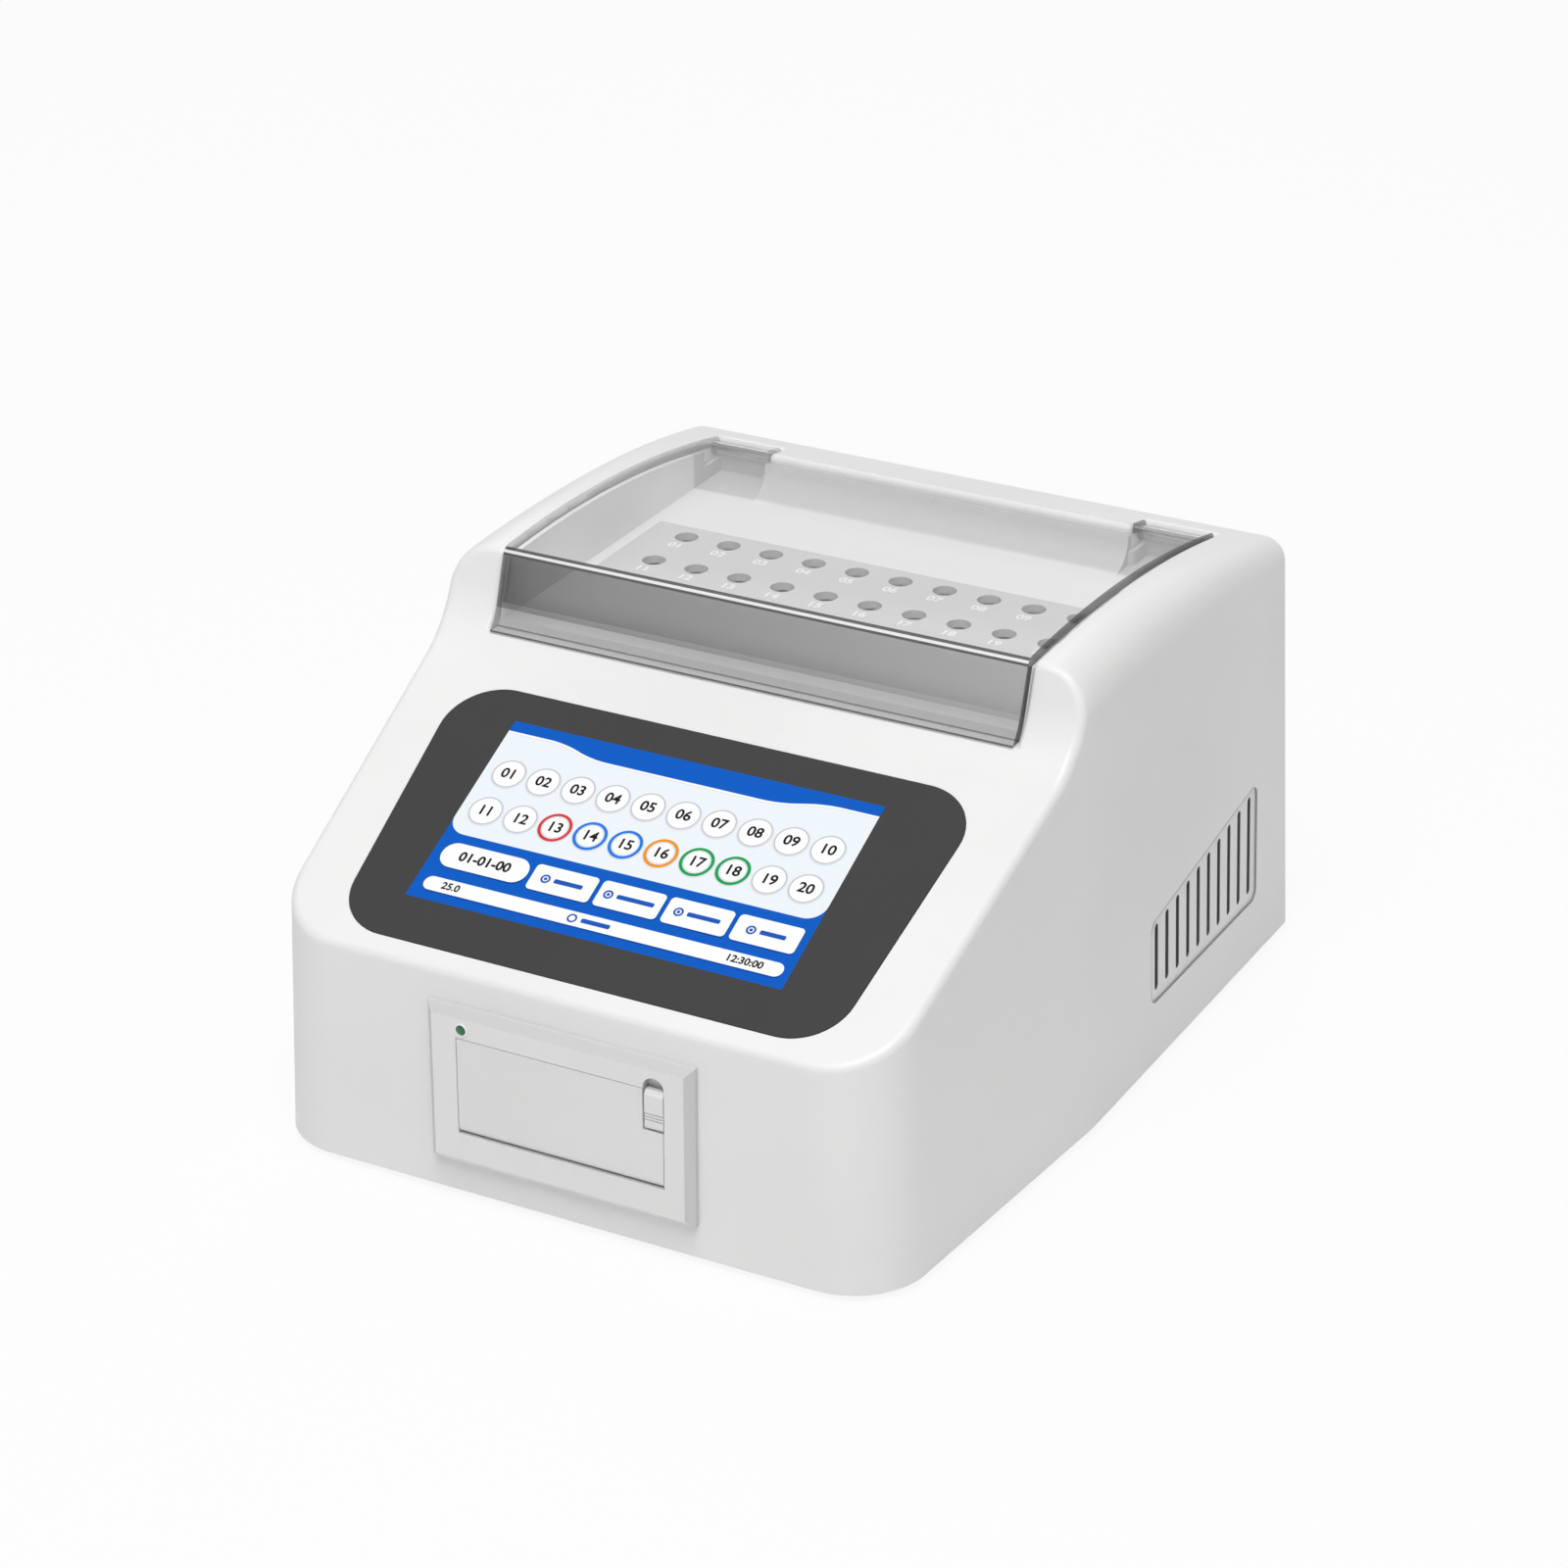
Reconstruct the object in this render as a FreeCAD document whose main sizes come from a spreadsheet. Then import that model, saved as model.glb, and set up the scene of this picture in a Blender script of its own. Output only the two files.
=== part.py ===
"""Erythrocyte sedimentation rate analyzer: a bench instrument with a clear lid over twenty tube
holes, a touch screen on its slope and a panel printer in its front.

Millimetres. While a piece is drawn, x = 0 is the middle, y = 0 the front wall and z = 0 the lower
edge of the housing. The finished pieces are then moved so that the origin is the middle of the
footprint on the table top.
"""
import FreeCAD, Part
import Sketcher
import math
import os
import re
from types import SimpleNamespace
from FreeCAD import Placement, Rotation, Vector

os.makedirs("parts", exist_ok=True)
doc = FreeCAD.newDocument("sedimentation_analyzer")

# Driving sizes, in millimetres and degrees
SIZES = {
    # housing
    "housing_width": 285.0,
    "housing_depth": 347.0,
    "crease_y": 151.6,
    "side_taper": 4.55,
    "draft": 2.16,
    "front_corner": 30.0,
    "crease_blend": 120.0,
    "rear_corner": 5.0,
    "wall": 3.0,
    "vent_start": 206.0,
    "vent_setback": 36.0,
    "vent_low": 25.5,
    "vent_height": 35.5,
    "vent_rise": 0.158,
    "vent_depth": 0.8,
    "slot_width": 3.4,
    "slot_margin": 5.0,
    "front_height": 91.0,
    "slope_angle": 25.0,
    "rise_blend": 40.0,
    "edge_round": 3.5,
    "shoulder_front": 20.0,
    "shoulder_rear": 9.0,
    "rim_crown": 188.8,
    "rim_radius": 650.0,
    "crown_y": 190.0,
    "base_gap": 0.4,
    # sample well
    "well_width": 224.8,
    "well_depth": 30.3,
    "tongue_width": 163.2,
    "tongue_setback": 38.5,
    "pocket_setback": 24.0,
    "well_corner": 3.0,
    "pocket_corner": 2.0,
    "rim_round": 2.2,
    "tray_wall": 2.0,
    "tray_floor": 3.0,
    "tray_gap": 0.4,
    "tray_ramp": 12.0,
    # lid
    "lid_width": 223.0,
    "lid_thickness": 4.5,
    "lid_rise": 2.2,
    "lid_radius": 590.0,
    "pane_top_y": 149.5,
    "pane_lean": 17.0,
    "pane_flare": 30.0,
    "flare_rise": 11.1,
    "pane_bend": 5.5,
    "lid_proud": 2.5,
    "lid_gap": 0.4,
    "notch_gap": 0.8,
    "hinge_setback": 29.0,
    "ear_gap": 1.15,
    "bead_radius": 4.1,
    "hinge_pin_radius": 2.0,
    "running_gap": 0.05,
    # tube deck and rack
    "deck_width": 209.0,
    "deck_depth": 52.0,
    "deck_front": 207.0,
    "deck_thickness": 3.3,
    "deck_gap": 0.3,
    "hole_radius": 4.8,
    "hole_pitch": 19.3,
    "row_pitch": 26.8,
    "row_front": 222.2,
    "rack_width": 236.0,
    "rack_depth": 71.0,
    "rack_plate": 8.0,
    "socket_height": 38.0,
    "socket_depth": 7.0,
    "column_radius": 4.0,
    "column_inset": 5.0,
    "guide_radius": 4.0,
    "guide_span": 210.0,
    "screw_radius": 4.0,
    "nut_radius": 6.0,
    "carriage_width": 226.0,
    "carriage_depth": 52.0,
    "carriage_plate": 6.0,
    "carriage_slot": 15.0,
    "scan_board_height": 10.0,
    "board_thickness": 1.6,
    "motor_width": 35.0,
    "motor_height": 28.0,
    # base
    "base_thickness": 2.0,
    "foot_radius": 9.0,
    "foot_height": 3.0,
    "foot_inset_x": 30.0,
    "foot_inset_y": 34.0,
    "boss_radius": 5.0,
    "boss_height": 26.0,
    "boss_inset": 4.4,
    "boss_front": 40.0,
    "boss_rear": 27.0,
    "screw_shank": 1.5,
    "screw_head": 3.0,
    "screw_head_height": 1.8,
    # display
    "glass_thickness": 2.0,
    "glass_proud": 0.2,
    "glass_low": 8.5,
    "glass_high": 130.5,
    "glass_width_low": 205.0,
    "glass_width_high": 223.0,
    "glass_corner": 22.0,
    "glass_gap": 0.25,
    "lcd_width": 165.0,
    "lcd_length": 100.0,
    "lcd_thickness": 5.5,
    "lcd_x": -2.7,
    "lcd_centre": 72.0,
    "lcd_bracket": 2.0,
    # printer
    "printer_width": 111.0,
    "printer_height": 65.0,
    "printer_z": 46.3,
    "printer_proud": 5.0,
    "printer_bevel": 3.0,
    "cutout_width": 103.0,
    "cutout_height": 57.0,
    "collar_gap": 0.2,
    "collar_depth": 8.0,
    "door_left": 42.0,
    "door_right": 44.0,
    "door_low": 28.0,
    "door_high": 67.4,
    "door_thickness": 6.0,
    "door_gap": 0.3,
    "latch_width": 7.7,
    "latch_height": 16.2,
    "latch_low": 51.0,
    "latch_thickness": 3.4,
    "latch_recess": 4.2,
    "small_pin": 1.0,
    "bay_width": 76.0,
    "bay_depth": 40.0,
    "bay_height": 50.0,
    "bay_wall": 2.0,
    "roll_radius": 18.0,
    "roll_width": 57.0,
    "core_radius": 6.5,
    "core_wall": 1.5,
    "platen_radius": 4.5,
    "platen_length": 58.0,
    "platen_y": 6.5,
    "platen_z": 60.5,
    "platen_shaft_radius": 2.0,
    "head_reach": 3.0,
    "led_radius": 2.0,
    "led_x": 39.9,
    "led_z": 71.3,
    # electronics and rear
    "board_width": 150.0,
    "board_depth": 100.0,
    "board_lift": 10.0,
    "board_right": 32.0,
    "board_middle": 120.0,
    "standoff_inset": 6.0,
    "supply_x": 36.0,
    "supply_y": 60.0,
    "supply_width": 74.0,
    "supply_depth": 110.0,
    "supply_height": 34.0,
    "panel_width": 236.0,
    "panel_height": 104.0,
    "panel_low": 10.0,
    "panel_recess": 6.0,
    "panel_thickness": 1.5,
    "panel_lip": 6.0,
    "panel_screw_inset": 5.0,
    "fan_width": 60.0,
    "fan_depth": 15.0,
    "fan_z": 66.0,
    "fan_bore": 28.5,
    "fan_hub": 13.0,
    "fan_tip": 27.5,
    "guard_wire": 1.2,
    "inlet_x": 78.0,
    "inlet_z": 45.0,
    "switch_z": 82.0,
    "port_x": 78.0,
}
# Places that follow from them: each is a sum of driving sizes
DERIVED = {
    "ledge_height": {"rim_crown": 1, "well_depth": -1},
    "lid_crown": {"rim_crown": 1, "lid_rise": 1},
    "tongue_y": {"housing_depth": 1, "tongue_setback": -1},
    "pocket_end": {"housing_depth": 1, "pocket_setback": -1},
    "hinge_y": {"housing_depth": 1, "hinge_setback": -1},
    "panel_face_y": {"housing_depth": 1, "panel_recess": -1},
}
sheet = doc.addObject("Spreadsheet::Sheet", "sizes")
for row, (word, value) in enumerate(SIZES.items(), 1):
    sheet.set("A%d" % row, word)
    sheet.set("B%d" % row, str(value))
    sheet.setAlias("B%d" % row, word)
doc.recompute()
s = SimpleNamespace(**{word: float(sheet.get(word)) for word in SIZES})
for word, terms in DERIVED.items():
    setattr(s, word, sum(share * getattr(s, term) for term, share in terms.items()))

# Where the finished pieces stand: origin in the middle of the footprint, feet on the table top
front_shift = -(s.housing_depth - s.printer_proud) / 2
STAND = Placement(Vector(0, front_shift, s.foot_height), Rotation())
PARTS = {}


def keep(thing, name, place=None):
    """Name a finished sub-part and move it to its place on the table."""
    if any("Placement" in path for path, text in thing.ExpressionEngine):
        thing = group(name + "_held", [thing])
    thing.Label = name
    thing.Placement = STAND.multiply(place) if place else STAND
    PARTS[name] = thing
    return thing


def bind(thing, prop, text):
    """Tie a property to the sheet: the words in text that are sizes become cell references."""
    def cell(match):
        word = match.group()
        if word in DERIVED:
            return "(" + " + ".join("%d*sizes.%s" % (share, term) for term, share in DERIVED[word].items()) + ")"
        return "sizes." + word if word in SIZES else word
    thing.setExpression(prop, re.sub(r"[a-z][a-z_]+", cell, text))


def place(thing, x, y, z):
    for axis, text in zip("xyz", (x, y, z)):
        bind(thing, "Placement.Base." + axis, text)


def box(name, length, width, height, x, y, z):
    thing = doc.addObject("Part::Box", name)
    for prop, text in (("Length", length), ("Width", width), ("Height", height)):
        bind(thing, prop, text)
    place(thing, x, y, z)
    return thing


def rod(name, radius, length, x, y, z, along="z"):
    """A cylinder that starts at x, y, z and runs along one axis."""
    thing = doc.addObject("Part::Cylinder", name)
    turns = {"z": Rotation(), "x": Rotation(Vector(0, 1, 0), 90), "y": Rotation(Vector(1, 0, 0), -90)}
    thing.Placement = Placement(Vector(), turns[along])
    bind(thing, "Radius", radius)
    bind(thing, "Height", length)
    place(thing, x, y, z)
    return thing


def fixed(name, shape):
    """A form that is worked out from the sheet's values in code."""
    thing = doc.addObject("Part::Feature", name)
    thing.Shape = shape
    return thing


def fuse(name, things):
    thing = doc.addObject("Part::MultiFuse", name)
    thing.Shapes = list(things)
    return thing


def cut(name, base, tools):
    tools = list(tools)
    thing = doc.addObject("Part::Cut", name)
    thing.Base = base
    thing.Tool = tools[0] if len(tools) == 1 else fuse(name + "_tools", tools)
    return thing


def group(name, things):
    """Like pieces that stay separate solids in one node."""
    thing = doc.addObject("Part::Compound", name)
    thing.Links = list(things)
    return thing


def middle(edge):
    return edge.valueAt((edge.FirstParameter + edge.LastParameter) / 2)


def rounded(name, base, radius, pick, kind="Part::Fillet"):
    """Round or bevel the edges whose middle point passes the test."""
    doc.recompute()
    thing = doc.addObject(kind, name)
    thing.Base = base
    size = getattr(s, radius)
    thing.Edges = [(i, size, size) for i, edge in enumerate(base.Shape.Edges, 1) if pick(middle(edge))]
    return thing


# Sketches and features of the bodies

def new_body(name):
    return doc.addObject("PartDesign::Body", name)


def sketch(body, name, role, x="0", y="0", z="0"):
    """A sketch on one of the body's own origin planes, moved in and off that plane."""
    drawing = body.newObject("Sketcher::SketchObject", name)
    support = next(item for item in body.Origin.OriginFeatures if item.Role == role)
    drawing.AttachmentSupport = (support, [""])
    drawing.MapMode = "FlatFace"
    for axis, text in zip("xyz", (x, y, z)):
        bind(drawing, "AttachmentOffset.Base." + axis, text)
    return drawing


def rectangle(drawing, width, height):
    """A rectangle centred on the sketch's origin, its two sizes tied to the sheet."""
    corners = [Vector(-1, -1, 0), Vector(1, -1, 0), Vector(1, 1, 0), Vector(-1, 1, 0)]
    first = drawing.GeometryCount
    for i in range(4):
        drawing.addGeometry(Part.LineSegment(corners[i], corners[(i + 1) % 4]), False)
    for i in range(4):
        drawing.addConstraint(Sketcher.Constraint("Coincident", first + i, 2, first + (i + 1) % 4, 1))
        drawing.addConstraint(Sketcher.Constraint("Vertical" if i % 2 else "Horizontal", first + i))
    drawing.addConstraint(Sketcher.Constraint("Symmetric", first, 1, first + 1, 2, -1, 1))
    wide = drawing.addConstraint(Sketcher.Constraint("DistanceX", first, 1, first, 2, 2.0))
    tall = drawing.addConstraint(Sketcher.Constraint("DistanceY", first + 1, 1, first + 1, 2, 2.0))
    bind(drawing, "Constraints[%d]" % wide, width)
    bind(drawing, "Constraints[%d]" % tall, height)


def disc(drawing, radius, x=0.0, y=0.0):
    """A circle with its radius tied to the sheet."""
    index = drawing.addGeometry(Part.Circle(Vector(x, y, 0), Vector(0, 0, 1), 1.0), False)
    rule = drawing.addConstraint(Sketcher.Constraint("Radius", index, 1.0))
    bind(drawing, "Constraints[%d]" % rule, radius)


def trace(drawing, edges):
    """Draw an outline that is already worked out, edge by edge."""
    for edge in edges:
        drawing.addGeometry(edge, False)


def pad(body, drawing, length, both_ways=False):
    feature = body.newObject("PartDesign::Pad", drawing.Name + "_pad")
    feature.Profile = drawing
    bind(feature, "Length", length)
    feature.Midplane = both_ways
    return feature


def pocket(body, drawing, length=None, both_ways=False, back=False):
    feature = body.newObject("PartDesign::Pocket", drawing.Name + "_pocket")
    feature.Profile = drawing
    if length:
        bind(feature, "Length", length)
    else:
        feature.Type = 1
    feature.Midplane = both_ways
    feature.Reversed = back
    return feature


# Outlines: straight runs joined by tangent arcs

def heading(a, b):
    gap = math.dist(a, b)
    return ((b[0] - a[0]) / gap, (b[1] - a[1]) / gap)


def outline(points, radii, spot=lambda u, v: Vector(u, v, 0)):
    """Edges of a closed polygon whose corners are rounded; spot puts a flat point in space."""
    corners = []
    for i, point in enumerate(points):
        radius = radii[i] if isinstance(radii, (list, tuple)) else radii
        before = heading(point, points[i - 1])
        after = heading(point, points[(i + 1) % len(points)])
        if radius <= 0:
            corners.append((point, None, point))
            continue
        half = math.acos(before[0] * after[0] + before[1] * after[1]) / 2
        run = radius / math.tan(half)
        inward = heading((0, 0), (before[0] + after[0], before[1] + after[1]))
        reach = radius / math.sin(half) - radius
        corners.append((
            (point[0] + before[0] * run, point[1] + before[1] * run),
            (point[0] + inward[0] * reach, point[1] + inward[1] * reach),
            (point[0] + after[0] * run, point[1] + after[1] * run),
        ))
    edges = []
    for i, (start, crest, end) in enumerate(corners):
        if crest:
            edges.append(Part.Arc(spot(*start), spot(*crest), spot(*end)))
        following = corners[(i + 1) % len(corners)][0]
        if math.dist(end, following) > 1e-6:
            edges.append(Part.LineSegment(spot(*end), spot(*following)))
    return edges


def prism(edges, run):
    return Part.Face(Part.Wire([edge.toShape() for edge in edges])).extrude(run)


def side_view(y, z):
    """A point of the side profile, on the far left of the instrument."""
    return Vector(-s.housing_width, y, z)


ACROSS = Vector(2 * s.housing_width, 0, 0)
tilt = math.tan(math.radians(s.draft))
taper = math.radians(s.side_taper)
half_width = s.housing_width / 2
BIG = 900.0

# Housing: a drafted block under a crowned top, with its front cut to the slope and the rise


def side_of(point, normal):
    """A big block behind a plane."""
    block = Part.makeBox(BIG, BIG, BIG, Vector(-BIG / 2, -BIG / 2, -BIG))
    block.Placement = Placement(Vector(*point), Rotation(Vector(0, 0, 1), Vector(*normal)))
    return block


def drafted_block(inset):
    """The left half, with draft on its walls; the front of the side turns in towards the front."""
    lean = inset / math.cos(math.radians(s.draft))
    reach = half_width - lean
    block = Part.makeBox(BIG / 2, BIG / 2, BIG / 3, Vector(-BIG / 2, inset, 0))
    block = block.common(side_of((0, s.housing_depth - lean, 0), (0, 1, tilt)))
    block = block.common(side_of((-reach, s.crease_y, 0), (-1, 0, tilt)))
    block = block.common(side_of((-reach, s.crease_y, 0), (-math.cos(taper), -math.sin(taper), tilt)))
    return block.cut(crease_chip(reach))


def crease_chip(reach):
    """What the soft crease between the two halves of a side takes off: a wedge less a cone."""
    centre_x = s.crease_blend - reach
    centre_y = s.crease_y + s.crease_blend * math.tan(taper / 2)
    far = 2 * s.crease_blend
    corners = [(0, 0), (far * math.cos(taper), -far * math.sin(taper)), (far, 0), (0, 0)]
    wedge = Part.Face(Part.makePolygon([Vector(centre_x - u, centre_y + v, -1) for u, v in corners]))
    wedge = wedge.extrude(Vector(0, 0, BIG / 3 + 2))
    rise = BIG / 3 + 20
    foot = Vector(centre_x, centre_y, -10)
    cone = Part.makeCone(s.crease_blend + 10 * tilt, s.crease_blend - (rise - 10) * tilt, rise, foot)
    return wedge.cut(cone)


def crowned(block, inset):
    """Cut the block to the crown and round its long shoulders, more at the front than the rear."""
    radius = s.rim_radius - inset
    foot = Vector(-s.housing_width, s.crown_y, s.rim_crown - s.rim_radius)
    block = block.common(Part.makeCylinder(radius, 2 * s.housing_width, foot, Vector(1, 0, 0))).Solids[0]
    base = fixed("crowned_%d" % inset, block)
    shoulder = doc.addObject("Part::Fillet", "shoulders_%d" % inset)
    shoulder.Base = base
    edges = []
    for i, edge in enumerate(block.Edges, 1):
        spot = middle(edge)
        along_side = inset + 2 < spot.y < s.housing_depth - 14 and abs(spot.x) > 100
        if spot.z > s.front_height and along_side:
            ends = [edge.valueAt(edge.FirstParameter), edge.valueAt(edge.LastParameter)]
            if edge.Orientation == "Reversed":
                ends.reverse()
            edges.append((i, shoulder_radius(ends[0].y) - inset, shoulder_radius(ends[1].y) - inset))
    shoulder.Edges = edges
    doc.recompute()
    return shoulder.Shape


def shoulder_radius(y):
    share = min(max((y - s.crease_y) / (s.housing_depth - s.crease_y), 0), 1)
    return s.shoulder_front + (s.shoulder_rear - s.shoulder_front) * share


slope = math.radians(s.slope_angle)
lean = math.radians(s.pane_lean)


def pane_y(z):
    """The front face of the lid's pane, where it is straight."""
    return s.pane_top_y - (s.lid_crown - 1 - z) * math.tan(lean)


def front_cut(inset):
    """The space before and above the front: slope, rise and the faces of the two cheeks."""
    low = -s.housing_depth / 4
    start = s.front_height - inset / math.cos(slope)
    face_y = pane_y(s.ledge_height) + (s.lid_proud + inset) / math.cos(lean)
    # where the slope meets the cheek's face
    rise_y = (face_y + (start - s.ledge_height) * math.tan(lean)) / (1 - math.tan(slope) * math.tan(lean))
    rise = (rise_y, start + rise_y * math.tan(slope))
    top = (rise[0] + 120 * math.tan(lean), rise[1] + 120)
    points = [(low, start + low * math.tan(slope)), rise, top, (low, top[1])]
    return prism(outline(points, [0, s.rise_blend + inset, 0, 0], side_view), ACROSS)


def housing_form(inset, soft):
    """The whole housing as a solid block, drawn as a left half and mirrored."""
    form = crowned(drafted_block(inset), inset).cut(front_cut(inset)).Solids[0]
    corners = [edge for edge in form.Edges if middle(edge).y < inset + 4 and abs(middle(edge).x) > 90
               and abs(edge.Vertexes[0].Z - edge.Vertexes[-1].Z) > s.front_height / 2]
    form = form.makeFillet(s.front_corner - inset, corners)
    if soft:
        limit = s.crease_y + 6
        soft_edges = [edge for edge in form.Edges if on_front(middle(edge), limit)]
        form = form.makeFillet(s.edge_round, soft_edges)
        rear = [edge for edge in form.Edges if middle(edge).y > s.housing_depth - 12 and middle(edge).z > 2
                and middle(edge).x < -1]
        form = form.makeFillet(s.rear_corner, rear)
    return form.fuse(form.mirror(Vector(), Vector(1, 0, 0))).removeSplitter().Solids[0]


def on_front(spot, limit):
    """The edges round the front: along the top of the front wall, up both sides and over the cheeks."""
    if spot.z < s.front_height - 3 or spot.y > limit:
        return False
    if spot.x > -1:
        return False
    on_wall = spot.y < 1
    on_side = abs(spot.x) > 95 and not (spot.z < s.front_height + 8 and spot.y > 25)
    over_top = spot.z > s.rim_crown - 8 and spot.y < s.pane_top_y + 8
    return on_wall or on_side or over_top


def both_sides(name, radius, length, x, y, z):
    """Two rods that run along x, one on each side of the middle; x is the inner end of each."""
    right = rod(name + "_right", radius, length, x, y, z, "x")
    left = rod(name + "_left", radius, length, "-(" + x + ") - (" + length + ")", y, z, "x")
    return [right, left]


def wall_inside(y):
    """Half the width between the inner faces of the two side walls, at their foot."""
    return half_width - max(s.crease_y - y, 0) * math.tan(taper) - s.wall


# The slope's own frame: x across, y up the slope, z out of it
SLOPE = Placement(Vector(0, 0, s.front_height), Rotation(Vector(1, 0, 0), s.slope_angle))


def glass_outline(grow):
    """The display's outline on the slope: its sides run with the tapered walls."""
    low = s.glass_width_low / 2 + grow
    high = s.glass_width_high / 2 + grow
    bottom = s.glass_low - grow
    top = s.glass_high + grow
    points = [(-low, bottom), (low, bottom), (high, top), (-high, top)]
    return outline(points, s.glass_corner + grow)


# Housing: openings, bosses and vents

bead_path = s.lid_radius - s.bead_radius
hinge_z = s.lid_crown - s.lid_radius + math.sqrt(bead_path ** 2 - (s.hinge_y - s.crown_y) ** 2)


def well_outline(inset):
    """Plan of the well: straight at the front, with the tongue standing forward at the rear."""
    side = s.well_width / 2 - inset
    tongue = s.tongue_width / 2 + inset
    rear = s.pocket_end - inset
    front = s.crease_y / 2
    points = [(-side, front), (side, front), (side, rear), (tongue, rear), (tongue, s.tongue_y - inset),
              (-tongue, s.tongue_y - inset), (-tongue, rear), (-side, rear)]
    radii = [0, 0, s.pocket_corner, s.pocket_corner, s.well_corner, s.well_corner, s.pocket_corner, s.pocket_corner]
    return outline(points, radii, lambda x, y: Vector(x, y, s.ledge_height))


def vent_top(y):
    """The vent's upper edge rises towards the rear."""
    return s.vent_low + s.vent_height + (y - s.vent_start) * s.vent_rise


def vent_recess():
    """A shallow tapered frame let into both side walls round the slots."""
    start, end, low = s.vent_start, s.housing_depth - s.vent_setback, s.vent_low
    points = [(start, low), (end, low), (end, vent_top(end)), (start, vent_top(start))]
    frame = prism(outline(points, s.slot_margin, side_view), ACROSS)
    half = drafted_block(s.vent_depth)
    return frame.cut(half.fuse(half.mirror(Vector(), Vector(1, 0, 0))))


def vent_slots():
    """Ten upright slots with round ends, right through both side walls."""
    slots = []
    first = s.vent_start + s.slot_margin
    pitch = (s.housing_depth - s.vent_setback - s.vent_start - 2 * s.slot_margin - s.slot_width) / 9
    half = s.slot_width / 2
    for i in range(10):
        y = first + half + pitch * i
        low, high = s.vent_low + s.slot_margin - 0.5, vent_top(y) - s.slot_margin + 1.4
        points = [(y - half, low), (y + half, low), (y + half, high), (y - half, high)]
        slots.append(prism(outline(points, half - 0.01, side_view), ACROSS))
    return slots[0].fuse(slots[1:])


outer = fixed("housing_outer", housing_form(0, True))
core = fixed("housing_core", housing_form(s.wall, False))
well_block = box("well_block", "well_width + 2*wall", "housing_depth", "housing_depth",
                 "-well_width/2 - wall", "pocket_end + wall - housing_depth", "ledge_height - wall")
hollow = cut("housing_hollow", core, [well_block])
shell = cut("housing_shell", outer, [hollow])
tongue_room = box("tongue_room", "tongue_width - 2*wall", "housing_depth", "housing_depth",
                  "wall - tongue_width/2", "tongue_y + wall", "ledge_height - 2*wall")
tongue_hollow = doc.addObject("Part::Common", "tongue_hollow")
tongue_hollow.Base = core
tongue_hollow.Tool = tongue_room
well_room = fixed("well_room", prism(well_outline(0), Vector(0, 0, s.housing_depth / 4)))
open_shell = cut("open_shell", shell, [well_room, tongue_hollow])


def on_rim(spot):
    """The upper edge round the well: along both cheeks, round the ear pockets and over the tongue."""
    reach = s.pocket_end - s.crown_y
    lowest = s.rim_crown - s.rim_radius + math.sqrt(s.rim_radius ** 2 - reach ** 2) - 0.6
    side = abs(abs(spot.x) - s.well_width / 2) < 0.05 and spot.z > lowest and spot.y > s.crease_y - 4
    rear = s.tongue_y - 1 < spot.y < s.pocket_end + 0.1 and spot.z > lowest
    return side or (rear and abs(spot.x) < s.well_width / 2 + 0.05)


soft_shell = rounded("soft_shell", open_shell, "rim_round", on_rim)

# Openings through the housing: tube window, display seat, printer, vents and hinge pins

deck_window = box("deck_window", "deck_width - 9", "deck_depth - 6", "4*wall",
                  "4.5 - deck_width/2", "deck_front + 3", "ledge_height - 2*wall")
seat_depth = s.glass_thickness - s.glass_proud
glass_seat = prism(glass_outline(s.glass_gap), Vector(0, 0, 3 * seat_depth))
glass_seat.Placement = SLOPE.multiply(Placement(Vector(0, 0, -seat_depth), Rotation()))
display_seat = fixed("display_seat", glass_seat)
view = Part.makeBox(s.lcd_width - 6, s.lcd_length - 8, 20, Vector(s.lcd_x - s.lcd_width / 2 + 3,
                                                                s.lcd_centre - s.lcd_length / 2 + 4, -10))
view.Placement = SLOPE
display_window = fixed("display_window", view)
printer_hole = box("printer_hole", "cutout_width", "6*wall", "cutout_height",
                   "-cutout_width/2", "-3*wall", "printer_z - cutout_height/2")
vents = fixed("vents", vent_recess().fuse(vent_slots()))
PIN_START = "tongue_width/2 - 2.9"
PIN_LENGTH = "well_width/2 - tongue_width/2 + 5.6"
HINGE_Z = "%.4f" % hinge_z
pin_holes = both_sides("pin_hole", "hinge_pin_radius", PIN_LENGTH, PIN_START, "hinge_y", HINGE_Z)

# Rear opening: a thick rim with a window and a seat for the steel panel
rim_block = box("rim_block", "panel_width + 8", "3*wall", "panel_height + 8",
                "-panel_width/2 - 4", "panel_face_y - panel_thickness - wall", "panel_low - 4")
rear_rim = doc.addObject("Part::Common", "rear_rim")
rear_rim.Base = outer
rear_rim.Tool = rim_block
rear_window = box("rear_window", "panel_width - 2*panel_lip", "9*wall", "panel_height - 2*panel_lip",
                  "panel_lip - panel_width/2", "panel_face_y - 5*wall", "panel_low + panel_lip")
panel_seat = box("panel_seat", "panel_width + 0.6", "9*wall", "panel_height + 0.6",
                 "-panel_width/2 - 0.3", "panel_face_y - panel_thickness", "panel_low - 0.3")

# Screws that hold the panel to the rim
panel_screw_x = s.panel_width / 2 - s.panel_lip / 2
panel_screw_z = [s.panel_low + s.panel_screw_inset, s.panel_low + s.panel_height / 2,
                 s.panel_low + s.panel_height - s.panel_screw_inset]
PANEL_SCREWS = [(x, z) for x in (-panel_screw_x, panel_screw_x) for z in panel_screw_z]
rim_holes = [rod("rim_hole_%d" % i, "screw_shank - 0.5", "9*wall", str(x), "panel_face_y - 5*wall", str(z), "y")
             for i, (x, z) in enumerate(PANEL_SCREWS)]

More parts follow.
